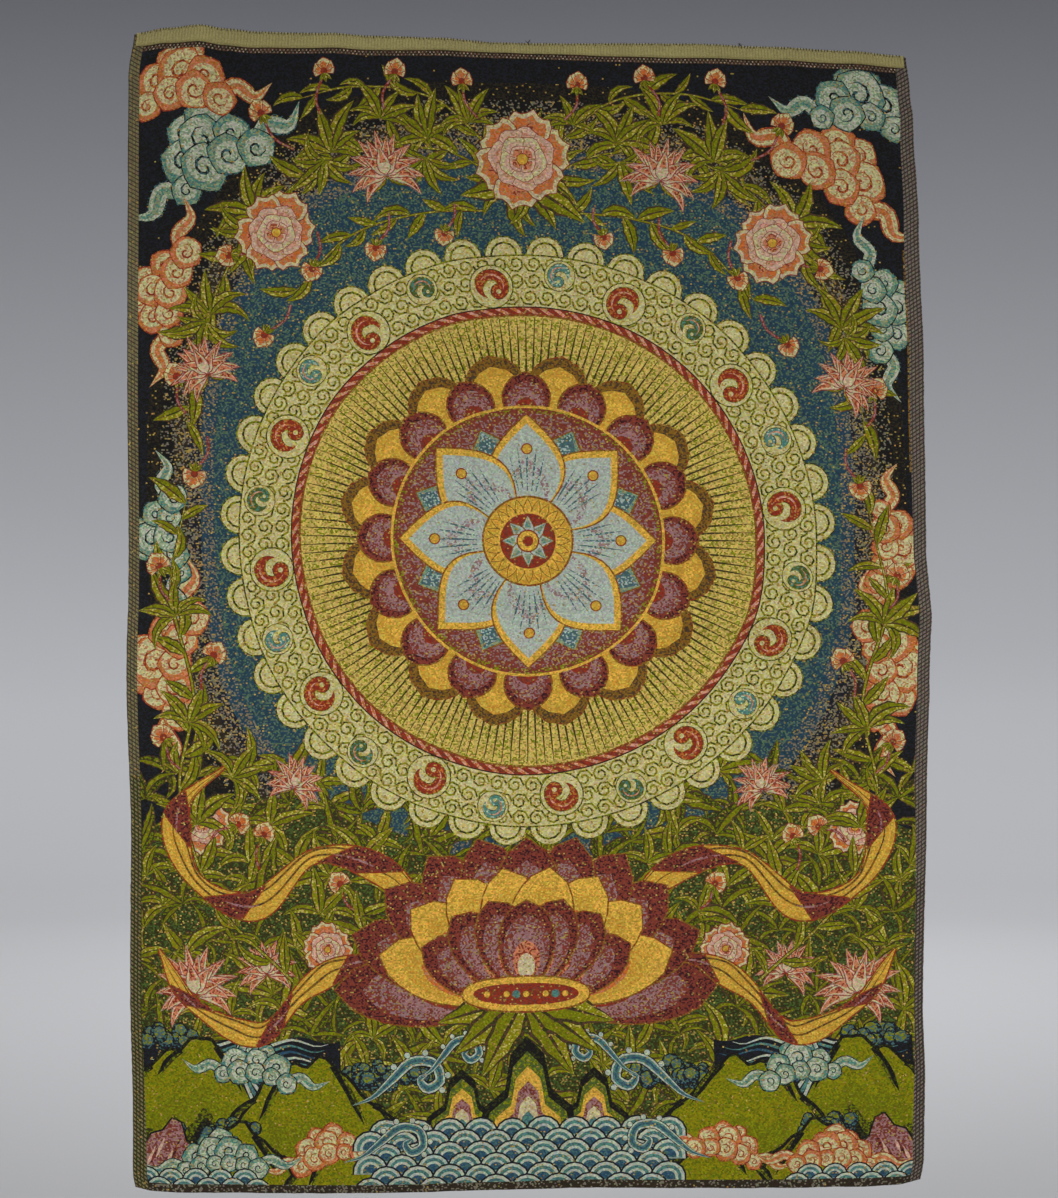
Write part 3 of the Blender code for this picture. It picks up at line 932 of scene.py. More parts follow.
def draw_borders(pen):
    """The woven edges: twills down both sides, a speckled foot, and the strip under the tape."""
    wide, drop = HALF_WIDE, FULL_DROP
    pen.fill(box(-wide, -drop, wide, -drop + FOOT_EDGE_WIDTH), "foot edge")
    across = np.linspace(-wide, wide, 61)
    pen.fill([*(across - 1j * (1000 * tape_depth(across / 1000) + STRIP)), wide, -wide], "top strip")
    first, last = LEFT_BORDER[0].wide - wide, wide - RIGHT_BORDER[0].wide
    for row, below in enumerate((1.4, 3.2)):
        for x in np.arange(first + (0.5 * row + 0.4) * STRIP_DOTS, last, STRIP_DOTS):
            pen.fill(circle(x - 1j * (1000 * tape_depth(x / 1000) + below), 0.72, 5), "strip dot")
    border(pen, -1, (0, 250), "left edge high")
    border(pen, -1, (250, 560), "left edge")
    border(pen, -1, (560, drop), "left edge low")
    border(pen, 1, (150, 322), "gold line", 1.2)
    border(pen, 1, (0, 640), "right edge")
    border(pen, 1, (640, drop), "right edge low")
    pen.fill(box(wide - 0.9, -380, wide, -90), "right rim")


def draw_picture():
    """Every patch of the picture, in the order in which they cover each other."""
    pen = Pen([])
    for draw in (draw_sky, draw_corners, draw_banks, draw_garland):
        draw(pen)
    draw_round(pen.moved(ROUND_MIDDLE))
    for draw in (draw_land, draw_sea, draw_seat, draw_borders):
        draw(pen)
    return pen.patches


# ---------------------------------------------------------------- finishes


def reckoned(operation):
    """What an amount does for one of Python's operators: a Math node."""
    return lambda amount, *others: amount.finish.maths(operation, amount, *others)


class Amount:
    """A number that varies over a surface: a node's output that can be reckoned with."""

    __add__ = __radd__ = reckoned("ADD")
    __mul__ = __rmul__ = reckoned("MULTIPLY")
    __sub__, __truediv__ = reckoned("SUBTRACT"), reckoned("DIVIDE")
    __lt__, __abs__ = reckoned("LESS_THAN"), reckoned("ABSOLUTE")
    floor = reckoned("FLOOR")
    within = reckoned("FRACT")      # how far it is past the last whole number

    def __init__(self, finish, socket):
        self.finish, self.socket = finish, socket

    def __rsub__(self, other):
        return self.finish.maths("SUBTRACT", other, self)


class Finish:
    """A material in the making: its nodes, and the shader that they feed."""

    def __init__(self, name, **constants):
        self.material = bpy.data.materials.new(name)
        self.material.use_nodes = True
        self.tree = self.material.node_tree
        self.shader = self.tree.nodes["Principled BSDF"]
        self.feed(**constants)

    def put(self, value, socket):
        """Links an amount to a socket, or sets the socket to a plain value."""
        if isinstance(value, Amount):
            self.tree.links.new(value.socket, socket)
        else:
            socket.default_value = value

    def feed(self, **values):
        """Gives the shader's sockets their amounts or plain values."""
        for socket, value in values.items():
            self.put(value, self.shader.inputs[socket.replace("_", " ")])
        return self.material

    def node(self, kind, settings, sockets, output=0):
        """The output of a new node: its settings are set first, then its sockets."""
        node = self.tree.nodes.new(kind)
        for name, value in settings.items():
            setattr(node, name, value)
        for name, value in sockets.items():
            self.put(value, node.inputs[name])
        return Amount(self, node.outputs[output])

    def maths(self, operation, *values):
        return self.node("ShaderNodeMath", {"operation": operation}, dict(enumerate(values)))

    def vector(self, operation, *values):
        return self.node("ShaderNodeVectorMath", {"operation": operation}, dict(enumerate(values)))

    def scaled(self, vector, level):
        """A colour or vector made stronger or weaker by a level."""
        return self.node("ShaderNodeVectorMath", {"operation": "SCALE"}, {0: vector, "Scale": level})

    def colour_mix(self, share, first, second):
        """first, blended with second by a share."""
        return self.node("ShaderNodeMix", {"data_type": "RGBA"}, {0: share, 6: first, 7: second}, 2)

    def attribute(self, name, output):
        return self.node("ShaderNodeAttribute", {"attribute_name": name}, {}, output)

    def parts(self, vector):
        """The three numbers of a vector."""
        split = self.node("ShaderNodeSeparateXYZ", {}, {"Vector": vector})
        return [Amount(self, output) for output in split.socket.node.outputs]

    def chance(self, column, row, seed):
        """An even chance from 0 to 1 for each cell, and a random vector for it."""
        cell = self.node("ShaderNodeCombineXYZ", {}, {"X": column, "Y": row, "Z": float(seed)})
        noise = self.node("ShaderNodeTexWhiteNoise", {"noise_dimensions": "3D"}, {"Vector": cell})
        return noise, Amount(self, noise.socket.node.outputs["Color"])

    def drift(self, place, scale):
        """Soft random blotches of lighter and darker, from 0 to 1 about a half."""
        return self.node("ShaderNodeTexNoise", {"noise_dimensions": "3D"},
                         {"Vector": place, "Scale": scale, "Detail": 3.0})

    def bump(self, strength, height, **normal):
        """The surface's normal, raised by a height in metres."""
        return self.node("ShaderNodeBump", {}, {"Strength": strength, "Distance": 1.0,
                                                "Height": height, **normal})


PICK = 0.00125             # length of one thread's show on the front
PICK_HIGH = 0.00105
PICK_SHIFT = 0.37          # how far each row's shows lie beside the row before
FLOAT = 0.0036             # what the loose threads on the back add to a show
TWILL_RISE = 0.0031        # height of one row of dots in the borders' twill
TWILL_STEP = 0.0026        # width of one of its dots and the gap beside it
TAPE_SHOW = 0.0007         # height of one thread's show on the tape
TWIST = 0.0006             # from one strand of the sewing thread to the next
RELIEF = 0.00010           # how far a show bulges
GLINT = (0.46, 0.31, 0.075, 1)
GLINT_GLEAM = 0.8
HALVES = (0.5, 0.5, 0.5)
ONES = (1.0, 1.0, 1.0)


def brocade_finish():
    """Figured weave: each show of thread is one of two yarns, or gold, and the gold ones glint."""
    cloth = Finish("brocade_weave", Sheen_Weight=0.05, Sheen_Roughness=0.5, Specular_IOR_Level=0.15)
    place = cloth.attribute("flat_place", "Vector")
    right, up, behind = cloth.parts(place)
    share, lean, glints = cloth.parts(cloth.attribute("weave_rule", "Vector"))
    row = (up / PICK_HIGH).floor()
    along = right / (PICK + behind * FLOAT) + (row * PICK_SHIFT).within() * (1 + behind * 3)
    column = along.floor()
    pick, hue = cloth.chance(column, row, 1)
    tone, tilt = cloth.chance(column, row, 2)
    luck, _ = cloth.chance(column, row, 3)
    rows = (right * lean * (TWILL_RISE / TWILL_STEP / 2) + up) / TWILL_RISE
    twill = cloth.maths("MAXIMUM", rows.within(), (right / TWILL_STEP).within() * 0.8)
    second = pick * (1 - abs(lean)) + twill * abs(lean) < share
    gold = luck < glints
    yarn = cloth.colour_mix(second, cloth.attribute("first_yarn", "Color"),
                            cloth.attribute("second_yarn", "Color"))
    yarn = cloth.colour_mix(gold, yarn, GLINT)
    gleam = (cloth.attribute("first_yarn", "Alpha") * (1 - second)
             + cloth.attribute("second_yarn", "Alpha") * second)
    gleam = gleam * (1 - gold) + gold * GLINT_GLEAM
    across_show = along.within() * 2 - 1
    up_show = (up / PICK_HIGH).within() * 2 - 1
    crown = (1 - across_show * across_show) * (1 - up_show * up_show)
    # large soft random blotches, lighter and darker
    blotches = cloth.drift(place, 9.0)
    # each show's colour is painted lighter on its crown and darker at its edges: a painted highlight and
    # painted shade between the shows
    level = (0.62 + tone * 0.46 + crown * 0.14) * (0.90 + blotches * 0.20)
    uneven = cloth.scaled(cloth.vector("SUBTRACT", hue, HALVES), 0.30)
    dyed = cloth.vector("MULTIPLY", yarn, cloth.vector("ADD", uneven, ONES))
    colour = cloth.scaled(dyed, level)
    normal = cloth.node("ShaderNodeNewGeometry", {}, {}, "Normal")
    lean_over = cloth.scaled(cloth.vector("SUBTRACT", tilt, HALVES), gleam * 0.60 + 0.10)
    glint = cloth.vector("NORMALIZE", cloth.vector("ADD", normal, lean_over))
    return cloth.feed(Base_Color=colour, Metallic=gleam,
                      Normal=cloth.bump(0.8, crown * RELIEF, Normal=glint),
                      Roughness=0.80 - gleam * 0.42 + tone * 0.08)


def tape_finish():
    """Ribbed tape in khaki yellow, a little uneven, with painted shade in the grooves between its ribs.
    """
    tape = Finish("heading_tape_weave", Sheen_Weight=0.10, Sheen_Roughness=0.5, Metallic=0.0)
    place = tape.attribute("flat_place", "Vector")
    right, up, _ = tape.parts(place)
    rib = (right / RIB_PITCH).within() * 2 - 1
    crown = 1 - rib * rib
    tone, _ = tape.chance((right / (RIB_PITCH / 3)).floor(), (up / TAPE_SHOW).floor(), 5)
    # painted shade in the grooves between the ribs, deepest near the tape's top edge
    painted_groove_shade = (1 - crown) * (0.60 + up * 0.38 / TAPE_LEG)
    khaki = tape.colour_mix(1 - painted_groove_shade, (0.105, 0.085, 0.030, 1), (0.42, 0.36, 0.13, 1))
    level = (0.78 + tone * 0.34) * (0.85 + tape.drift(place, 30.0) * 0.3)
    colour = tape.scaled(khaki, level)
    grain = tape.bump(0.6, tone * 0.00012 + crown * 0.0001)
    return tape.feed(Base_Color=colour, Roughness=0.86 - crown * 0.12, Normal=grain)


def thread_finish(name, colour):
    """Sewing thread: its colour, with the twist of its strands and painted shade between them."""
    thread = Finish(name, Sheen_Weight=0.2, Sheen_Roughness=0.4, Metallic=0.0)
    place = thread.node("ShaderNodeTexCoord", {}, {}, "Object")
    right, deep, up = thread.parts(place)
    twist = ((right + up + deep) / TWIST).within() * 2 - 1
    crown = 1 - twist * twist
    tone = thread.drift(place, 900.0)
    # painted highlight on each strand's crown and painted shade between the strands, with soft random
    # blotches
    shade = thread.scaled(colour, 0.62 + crown * 0.30 + tone * 0.24)
    grain = thread.bump(0.7, crown * 0.00008)
    return thread.feed(Base_Color=shade, Roughness=0.72 + tone * 0.15, Normal=grain)


# ---------------------------------------------------------------- laying out the weaves, in millimetres

MERGE = 0.001              # within which corners of the layout fall together
LINE_STEP = 7.0            # how finely long lines between weaves follow the folds
FRONT_GRID, FRONT_SLACK = 10.0, 0.20
BACK_GRID, BACK_SLACK = 14.0, 0.9
SHOWS_BEHIND = 260         # area of the smallest patch that shows on the back
LAID_WIDE = HALF_WIDE - EDGE_ROUND * 1000
LAID_TOP = RAW_EDGE * 1000
LAID_FOOT = FULL_DROP - EDGE_ROUND * 1000


def stations(marks, step):
    """All the marks along a length, and evenly spaced places between them, none over step apart."""
    marks = sorted(marks)
    found = [marks[0]]
    for start, end in zip(marks, marks[1:]):
        count = int(np.ceil((end - start) / step))
        found += [start + (end - start) * (i + 1) / count for i in range(count)]
    return found


def fold_points(step):
    """Loose places over the cloth and down its sides that carry the folds, closer at the creases."""
    across = stations([-LAID_WIDE, LAID_WIDE], step)
    creases = [1000 * (fold.down + side * fold.width) for fold in CREASES
               for side in (-2, -1.2, -0.6, 0, 0.6, 1.2, 2)]
    down = stations([LAID_TOP, *creases, LAID_FOOT], step)
    inside = [complex(x, -d) for x in across[1:-1] for d in down[1:-1]]
    return inside + [complex(x, -d) for x in (-LAID_WIDE, LAID_WIDE) for d in down]


def thinned(outline, slack):
    """The outline without points that hardly bend it."""
    kept = np.asarray(outline)
    for turn in range(6):
        if len(kept) < 7:
            break
        before, after = np.roll(kept, 1), np.roll(kept, -1)
        chord = after - before
        bend = abs(((kept - before) * chord.conj()).imag) / np.maximum(abs(chord), 1e-9)
        weak = (bend < slack) & (np.arange(len(kept)) % 2 == turn % 2)
        weak[-1] &= len(kept) % 2 == 0
        kept = kept[~weak]
    return kept


def straightened(chain, corners, slack):
    """The chain of corners without those that hardly bend it; its ends always stay."""
    places, end = corners[chain], len(chain) - 1
    kept, spans = {0, end}, [(0, end)]
    if chain[0] == chain[-1]:
        far = int(np.argmax(abs(places - places[0])))
        kept, spans = {0, far, end}, [(0, far), (far, end)]
    while spans:
        first, last = spans.pop()
        if last - first < 2:
            continue
        chord = places[last] - places[first]
        away = abs(((places[first + 1:last] - places[first]) * chord.conjugate()).imag)
        k = int(np.argmax(away))
        if away[k] > slack * max(abs(chord), 1e-9):
            k += first + 1
            kept.add(k)
            spans += [(first, k), (k, last)]
    return [chain[k] for k in sorted(kept)]


def windings(outline, places):
    """How many times a closed outline winds round each of the places."""
    turns = np.zeros(len(places), int)
    right, up = places.real, places.imag
    for start, end in zip(outline, np.roll(outline, -1)):
        run = end - start
        side = run.real * (up - start.imag) - run.imag * (right - start.real)
        turns += (start.imag <= up) & (up < end.imag) & (side > 0)
        turns -= (end.imag <= up) & (up < start.imag) & (side < 0)
    return turns


def weaves_at(patches, places):
    """The number of the weave on top at each of the places."""
    order = np.argsort(places.real)
    places = places[order]
    shown, bare = np.zeros(len(places), int), np.ones(len(places), bool)
    for outline, weave in reversed(patches):
        first, last = np.searchsorted(places.real, (outline.real.min(), outline.real.max()))
        up = places.imag[first:last]
        near = bare[first:last] & (up > outline.imag.min()) & (up < outline.imag.max())
        near = first + np.flatnonzero(near)
        under = near[windings(outline, places[near]) != 0]
        shown[under], bare[under] = WEAVE_NAMES.index(weave), False
    return shown[np.argsort(order)]


def triangulated(places, lines):
    """A layout through all the places that keeps the lines: its corners and its triangles."""
    points = [Vector((place.real, place.imag)) for place in places]
    corners, _, triangles, *_ = delaunay_2d_cdt(points, lines, [], 0, MERGE, False)
    return np.array([complex(*corner) for corner in corners]), np.array(triangles)


def crossed(patches):
    """A layout in which every outline crosses every other, also where both are covered.

    Returns its corners, its triangles inside the first outline, and the weave that each shows.
    """
    places, lines = [], []
    for outline, _ in patches:
        numbers = [len(places) + k for k in range(len(outline))]
        lines += zip(numbers, numbers[1:] + numbers[:1])
        places.extend(outline)
    corners, triangles = triangulated(places, lines)
    middles = corners[triangles].mean(axis=1)
    inside = windings(patches[0][0], middles) != 0
    return corners, triangles[inside], weaves_at(patches, middles[inside])


def weave_lines(triangles, shown):
    """Chains of corners where one weave meets another, or where the layout ends."""
    count = triangles.max() + 1
    tail, head = triangles.ravel(), np.roll(triangles, -1, axis=1).ravel()
    left = np.repeat(shown, 3)
    key, back = tail * count + head, head * count + tail
    order = np.argsort(key)
    found = np.minimum(np.searchsorted(key[order], back), len(key) - 1)
    paired = key[order][found] == back
    line = ~paired | ((left != left[order[found]]) & (tail < head))
    lines = list(zip(tail[line].tolist(), head[line].tolist()))
    around = {}
    for number, ends in enumerate(lines):
        for end in ends:
            around.setdefault(end, []).append(number)
    joints = sorted(corner for corner, near in around.items() if len(near) != 2)
    fixed, used, chains = set(joints), set(), []
    for begin in joints + sorted(around):
        for number in around[begin]:
            if number in used:
                continue
            chain = [begin]
            while number not in used:
                used.add(number)
                start, end = lines[number]
                chain.append(end if start == chain[-1] else start)
                if chain[-1] in fixed:
                    break
                near = around[chain[-1]]
                number = near[0] if near[1] == number else near[1]
            chains.append(chain)
    return chains


def laid_out(patches, step, slack):
    """Triangles that show the patches in their order, inside the first of them.

    Only the lines where one weave meets another are kept, which takes far fewer triangles than
    outlines that run on under later patches. Returns the corners, the triangles, and the number of
    the weave that each triangle shows.
    """
    patches = [(thinned(outline, slack), weave) for outline, weave in patches]
    corners, triangles, shown = crossed(patches)
    places, lines, number_of = [], [], {}

    def placed(corner):
        if corner not in number_of:
            number_of[corner] = len(places)
            places.append(corners[corner])
        return number_of[corner]

    for chain in weave_lines(triangles, shown):
        chain = straightened(chain, corners, slack)
        for start, end in zip(chain, chain[1:]):
            run = corners[end] - corners[start]
            count = int(np.ceil(abs(run) / LINE_STEP))
            steps = [placed(start)]
            for k in range(1, count):
                steps.append(len(places))
                places.append(corners[start] + run * k / count)
            steps.append(placed(end))
            lines += zip(steps, steps[1:])
    laid, triangles = triangulated([*places, *fold_points(step)], lines)
    return laid, triangles, weaves_at(patches, laid[triangles].mean(axis=1)).tolist()


def rim_of(corners, triangles):
    """The corners around the edge of a flat layout, in order from its top left, anticlockwise."""
    steps = {(a, b) for a, b, c in triangles.tolist() for a, b in ((a, b), (b, c), (c, a))}
    after = {a: b for a, b in steps if (b, a) not in steps}
    start = min(after, key=lambda k: corners[k].real - corners[k].imag)
    rim = [start]
    while after[rim[-1]] != start:
        rim.append(after[rim[-1]])
    return rim


def zipped(first, second, first_at, second_at):
    """Triangles that join two closed rows of points, given how far along each point lies."""
    faces, i, j = [], 0, 0
    while i < len(first) or j < len(second):
        here, there = first[i % len(first)], second[j % len(second)]
        if j == len(second) or (i < len(first) and first_at[i + 1] <= second_at[j + 1]):
            i += 1
            faces.append((here, there, first[i % len(first)]))
        else:
            j += 1
            faces.append((here, there, second[j % len(second)]))
    return faces


def lengths_along(places):
    """How far round a closed row each of its places lies, and its whole length at the end."""
    steps = abs(np.diff(np.append(places, places[0])))
    return np.concatenate([[0.0], np.cumsum(steps)])


def back_patches(patches):
    """The patches that show on the back: the larger ones in the yarns left out in front, and hems."""
    shown = [(patches[0][0], "reverse mid")]
    for outline, weave in patches[1:]:
        yarn = YARNS[WEAVES[weave].main]
        light = 0.3 * yarn.red + 0.55 * yarn.green + 0.15 * yarn.blue
        reverse = "reverse light" if light < 70 else "reverse mid" if light < 135 else "reverse dark"
        if abs(swept(outline)) / 2 > SHOWS_BEHIND:
            shown.append((outline, reverse))
    wide, drop = HALF_WIDE, FULL_DROP
    for hem, weave in (((HEM_WIDTH + HEM_STEP) * 1000, "reverse dark"), (HEM_WIDTH * 1000, None)):
        shown += [(wound(box(-wide, -drop, wide, -drop + hem)), weave or "foot edge"),
                  (wound(box(-wide, -drop, -wide + hem, 0)), weave or "left edge"),
                  (wound(box(wide - hem, -drop, wide, 0)), weave or "right edge")]
    return shown


def edge_weave(place):
    """The number of the border's weave nearest to a place on the rim."""
    if place.imag < -FULL_DROP + 2 and abs(place.real) < HALF_WIDE - 2:
        return WEAVE_NAMES.index("foot edge")
    return WEAVE_NAMES.index("left edge" if place.real < 0 else "right edge")


# ---------------------------------------------------------------- the pieces, in metres

# Half the thickness of the sewing threads
THICK_THREAD, LOOSE_THREAD, TIGHT_THREAD = 0.00042, 0.00026, 0.00022


def in_scene(name, data):
    """A new object of the scene."""
    thing = bpy.data.objects.new(name, data)
    bpy.context.scene.collection.objects.link(thing)
    return thing


def meshed(name, verts, faces, finish):
    """An object of a smooth mesh in one finish."""
    mesh = bpy.data.meshes.new(name)
    mesh.from_pydata(np.asarray(verts).tolist(), [], [tuple(map(int, face)) for face in faces])
    mesh.shade_smooth()
    mesh.materials.append(finish)
    return in_scene(name, mesh)


def worn(piece):
    """The piece, riding on the part."""
    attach(piece, "root")
    return piece


def give(piece, name, kind, domain, values):
    """Tells the finish something about each point or corner of a piece."""
    attribute = piece.data.attributes.new(name, kind, domain)
    attribute.data.foreach_set("color" if kind == "FLOAT_COLOR" else "vector",
                               np.asarray(values, np.float32).ravel())


def give_places(piece, right, up, behind):
    """Tells the finish where each point lies on the flat cloth, and whether on its back."""
    give(piece, "flat_place", "FLOAT_VECTOR", "POINT",
         np.stack([right, up, behind + 0.0 * right], axis=-1))


def give_weaves(piece, shows):
    """Tells the finish what each face is woven from."""
    corner = np.repeat(shows, 3)
    rules = np.array([[weave.share, weave.lean, weave.glint] for weave in WEAVES.values()])
    give(piece, "weave_rule", "FLOAT_VECTOR", "CORNER", rules[corner])
    for name, which in (("first_yarn", "main"), ("second_yarn", "second")):
        yarns = np.array([yarn_values(getattr(weave, which)) for weave in WEAVES.values()])
        give(piece, name, "FLOAT_COLOR", "CORNER", yarns[corner])


def in_metres(places):
    """How far right and how far down places of the picture lie."""
    return places.real / 1000, -places.imag / 1000


def make_panel(patches):
    """The brocade cloth: its figured front, the turned edges, and the back with its hems."""
    edge_box = np.array(box(-LAID_WIDE, -LAID_FOOT, LAID_WIDE, -LAID_TOP))
    patches = [(edge_box, "night"), *patches]
    front, front_faces, front_shows = laid_out(patches, FRONT_GRID, FRONT_SLACK)
    back, back_faces, back_shows = laid_out(back_patches(patches), BACK_GRID, BACK_SLACK)
    front_rim, back_rim = rim_of(front, front_faces), rim_of(back, back_faces)

    rim_places = front[front_rim]
    outward = (np.where(abs(rim_places.real) > LAID_WIDE - MERGE, np.sign(rim_places.real), 0)
               + 1j * np.where(rim_places.imag > -LAID_TOP - MERGE, 1, 0)
               - 1j * np.where(rim_places.imag < -LAID_FOOT + MERGE, 1, 0))
    outward = outward / abs(outward) * EDGE_ROUND * 1000
    out = outward / abs(outward)
    side = np.stack([out.real, 0 * out.real, out.imag], axis=-1)
    wear = np.array([vary(0.75, 1.15) for _ in rim_places])
    places, behind = [front], [np.full(len(front), -CLOTH / 2)]
    rings, normals = [np.array(front_rim)], [facing(*in_metres(front))]
    for turn in (50, 0, -50):
        ring = rim_places + outward * cos(radians(turn)) * wear
        flat = in_metres(ring)
        half = layers_at(*flat) / 2
        rings.append(np.arange(len(ring)) + sum(map(len, places)))
        places.append(ring)
        behind.append(-CLOTH / 2 + half - half * sin(radians(turn)))
        normals.append(side * cos(radians(turn)) + facing(*flat) * sin(radians(turn)))
    offset = sum(map(len, places))
    places.append(back)
    behind.append(layers_at(*in_metres(back)) - CLOTH / 2)
    normals.append(-facing(*in_metres(back)))

    faces, shows = front_faces.tolist(), front_shows
    for ring, beyond in zip(rings, rings[1:]):
        for k in range(len(ring)):
            n = (k + 1) % len(ring)
            faces += [(ring[k], beyond[k], beyond[n]), (ring[k], beyond[n], ring[n])]
            shows += [edge_weave(rim_places[k])] * 2
    joined = zipped(rings[-1].tolist(), [k + offset for k in back_rim],
                    lengths_along(rim_places), lengths_along(back[back_rim]))
    every_place = np.concatenate(places)
    faces += joined
    shows += [edge_weave(every_place[face[0]]) for face in joined]
    faces += [(a + offset, c + offset, b + offset) for a, b, c in back_faces.tolist()]
    shows += back_shows

    right, down = in_metres(every_place)
    panel = worn(meshed("brocade_panel_cloth", hung(right, down, np.concatenate(behind)), faces,
                        brocade_finish()))
    give_places(panel, right, -down, (np.arange(len(right)) >= offset).astype(float))
    give_weaves(panel, shows)
    panel.data.normals_split_custom_set_from_vertices(np.concatenate(normals).tolist())
    return panel


def skin(count, size, way):
    """The faces of a closed tube of so many rings of points; way -1 turns them over."""
    last = (count - 1) * size
    faces = []
    for a in range(0, last, size):
        for n in range(size):
            b, m = a + size, (n + 1) % size
            faces.append((a + n, b + n, b + m, a + m) if way > 0 else (a + n, a + m, b + m, b + n))
    return [*faces, tuple(range(size))[::way], tuple(range(last, last + size))[::-way]]


def make_heading():
    """The heading tape: a ribbed strip folded astride the raw top edge."""
    rib_steps, rib_height, leg_top, lowest, bend = 6, 0.00016, 0.0007, 0.0010, 0.0006
    count = round(2 * TAPE_HALF / RIB_PITCH) * rib_steps + 1
    across = np.linspace(-TAPE_HALF, TAPE_HALF, count)
    rib = rib_height * abs(np.sin(pi * across / RIB_PITCH))
    legs = np.linspace(TAPE_LEG, leg_top, 6)
    deeper = tape_depth(across) / TAPE_LEG
    front_in, back_in = -CLOTH / 2 - TAPE_GAP, layers_at(across, 0.0 * across) - CLOTH / 2 + TAPE_GAP
    front_out, back_out = TAPE_FACE - rib, back_in + TAPE_CLOTH + rib
    over = [(TAPE_CLOTH * 0.9 * cos(radians(turn)), bend * (1 - sin(radians(turn))))
            for turn in (65, 30)]
    section = [(front_in, TAPE_LEG * deeper), *((front_out, leg * deeper) for leg in legs),
               *((front_out + inwards, down) for inwards, down in over),
               *((back_out - inwards, down) for inwards, down in over[::-1]),
               *((back_out, leg) for leg in legs[::-1]),
               (back_in, TAPE_LEG), (back_in, lowest), (front_in, lowest)]
    size = len(section)
    verts = np.stack([hung(across, down + 0 * across, behind) for behind, down in section], axis=1)
    tape = worn(meshed("heading_tape_cloth", verts.reshape(-1, 3), skin(count, size, 1),
                       tape_finish()))
    up = np.stack([-down + 0 * across for _, down in section], axis=1)
    give_places(tape, np.repeat(across, size), up.ravel(), 0.0)
    return tape


def threads_piece(name, paths, radius, finish):
    """Many separate threads joined as one piece, each with five sides and closed ends."""
    sides, slim_end = 5, 0.4
    turns = 2 * pi * np.arange(sides) / sides
    verts, faces = [], []
    for path in paths:
        path = np.asarray(path, float)
        along = np.gradient(path, axis=0)
        along /= np.linalg.norm(along, axis=1, keepdims=True)
        across = np.cross(along, (0.31, 0.17, 0.93))
        across /= np.linalg.norm(across, axis=1, keepdims=True)
        over = np.cross(along, across)
        radii = np.full(len(path), radius)
        radii[[0, -1]] *= slim_end
        rings = (path[:, None] + radii[:, None, None] * (across[:, None] * np.cos(turns)[:, None]
                                                         + over[:, None] * np.sin(turns)[:, None]))
        faces += [tuple(k + len(verts) for k in face) for face in skin(len(path), sides, -1)]
        verts.extend(rings.reshape(-1, 3))
    return worn(meshed(name, verts, faces, finish))


def make_overcasting(finish):
    """Dark loops of thread over the tape's top edge, one to each groove between its ribs."""
    half_length = TAPE_HALF - RIB_PITCH
    count = round(2 * half_length / RIB_PITCH)
    paths = []
    for k in range(count):
        x = -half_length + (k + 0.5) * 2 * half_length / count + vary(-1, 1) * 0.0002
        front, back = TAPE_FACE, float(layers_at(x, 0.0)) - CLOTH / 2 + TAPE_GAP + TAPE_CLOTH
        reach = vary(0.0015, 0.0024)
        steps = ((front - 0.00015, reach), (front - 0.00025, reach * 0.4), (front * 0.6, -0.00035),
                 ((front + back) / 2, -0.00045), (back * 0.75, -0.00035), (back + 0.00025, reach * 0.4),
                 (back + 0.00015, reach))
        slant = vary(0.2, 0.9) * 0.001
        paths.append([hung(x + slant * n / 6, down, behind) for n, (behind, down) in enumerate(steps)])
    return threads_piece("edge_loops", paths, THICK_THREAD, finish)


def make_seam(finish):
    """The row of stitches that holds the tape to the cloth, near its lower edge."""
    step, stitch, above_edge = 0.0030, 0.0022, 0.0015
    half_length = TAPE_HALF - step
    paths = []
    for k in range(int(2 * half_length / step)):
        x = -half_length + k * step
        paths.append([hung(x + stitch * n / 4, tape_depth(x) - above_edge, TAPE_FACE + lift)
                      for n, lift in enumerate((0.0, -0.00022, -0.00026, -0.00022, 0.0))])
    return threads_piece("tape_seam", paths, TIGHT_THREAD, finish)


def make_hem_stitches(finish):
    """Slanting stitches that catch down the raw edges of the hems, behind the cloth."""
    step, reach, slant = 0.0070, 0.0034, 0.8
    top_clear, foot_clear, side_clear = 0.014, 0.016, 0.02
    edge, foot = PANEL_WIDTH / 2 - HEM_WIDTH, PANEL_DROP - HEM_WIDTH
    route = []                      # each stitch's middle, and how it slants across and down
    for k in range(int((PANEL_DROP - top_clear - foot_clear) / step)):
        down = top_clear + k * step
        route += [(-edge, down, 1, slant), (edge, down, -1, slant)]
    for k in range(int((PANEL_WIDTH - 2 * side_clear) / step)):
        route.append((-PANEL_WIDTH / 2 + side_clear + k * step, foot, slant, -1))
    paths = []
    for x, down, across, lower in route:
        path = []
        for share, lift in ((-0.6, 0.0001), (-0.2, 0.0003), (0.2, 0.0003), (0.6, 0.0001)):
            place = x + share * reach * across, down + share * reach * lower
            path.append(hung(*place, float(layers_at(*place)) - CLOTH / 2 + lift))
        paths.append(path)
    return threads_piece("hem_stitches", paths, LOOSE_THREAD, finish)


def make_thread_ends(finish):
    """Two small tufts of loose dark thread at the top edge."""
    paths = []
    for x in (0.0057, 0.1706):
        foot = hung(x, 0.0004, -CLOTH - TAPE_CLOTH)
        for _ in range(5):
            sway, rise = vary(-0.0022, 0.0022), vary(0.0014, 0.0030)
            paths.append([foot + (sway * share ** 1.6, -0.0006 * share, rise * share)
                          for share in (0, 0.25, 0.5, 0.75, 1)])
    return threads_piece("thread_ends", paths, LOOSE_THREAD, finish)


# ---------------------------------------------------------------- stage

FLOOR_LEVEL = -1.00
BOWL_RADIUS = 4.8
COVE_RADIUS = 1.7
BOWL_HEIGHT = 3.6
CAMERA_DISTANCE = 2.15
CAMERA_LENS = 85
PICTURE_MIDDLE = (0.0011, -0.4222)     # where the photo's middle falls, as x and z


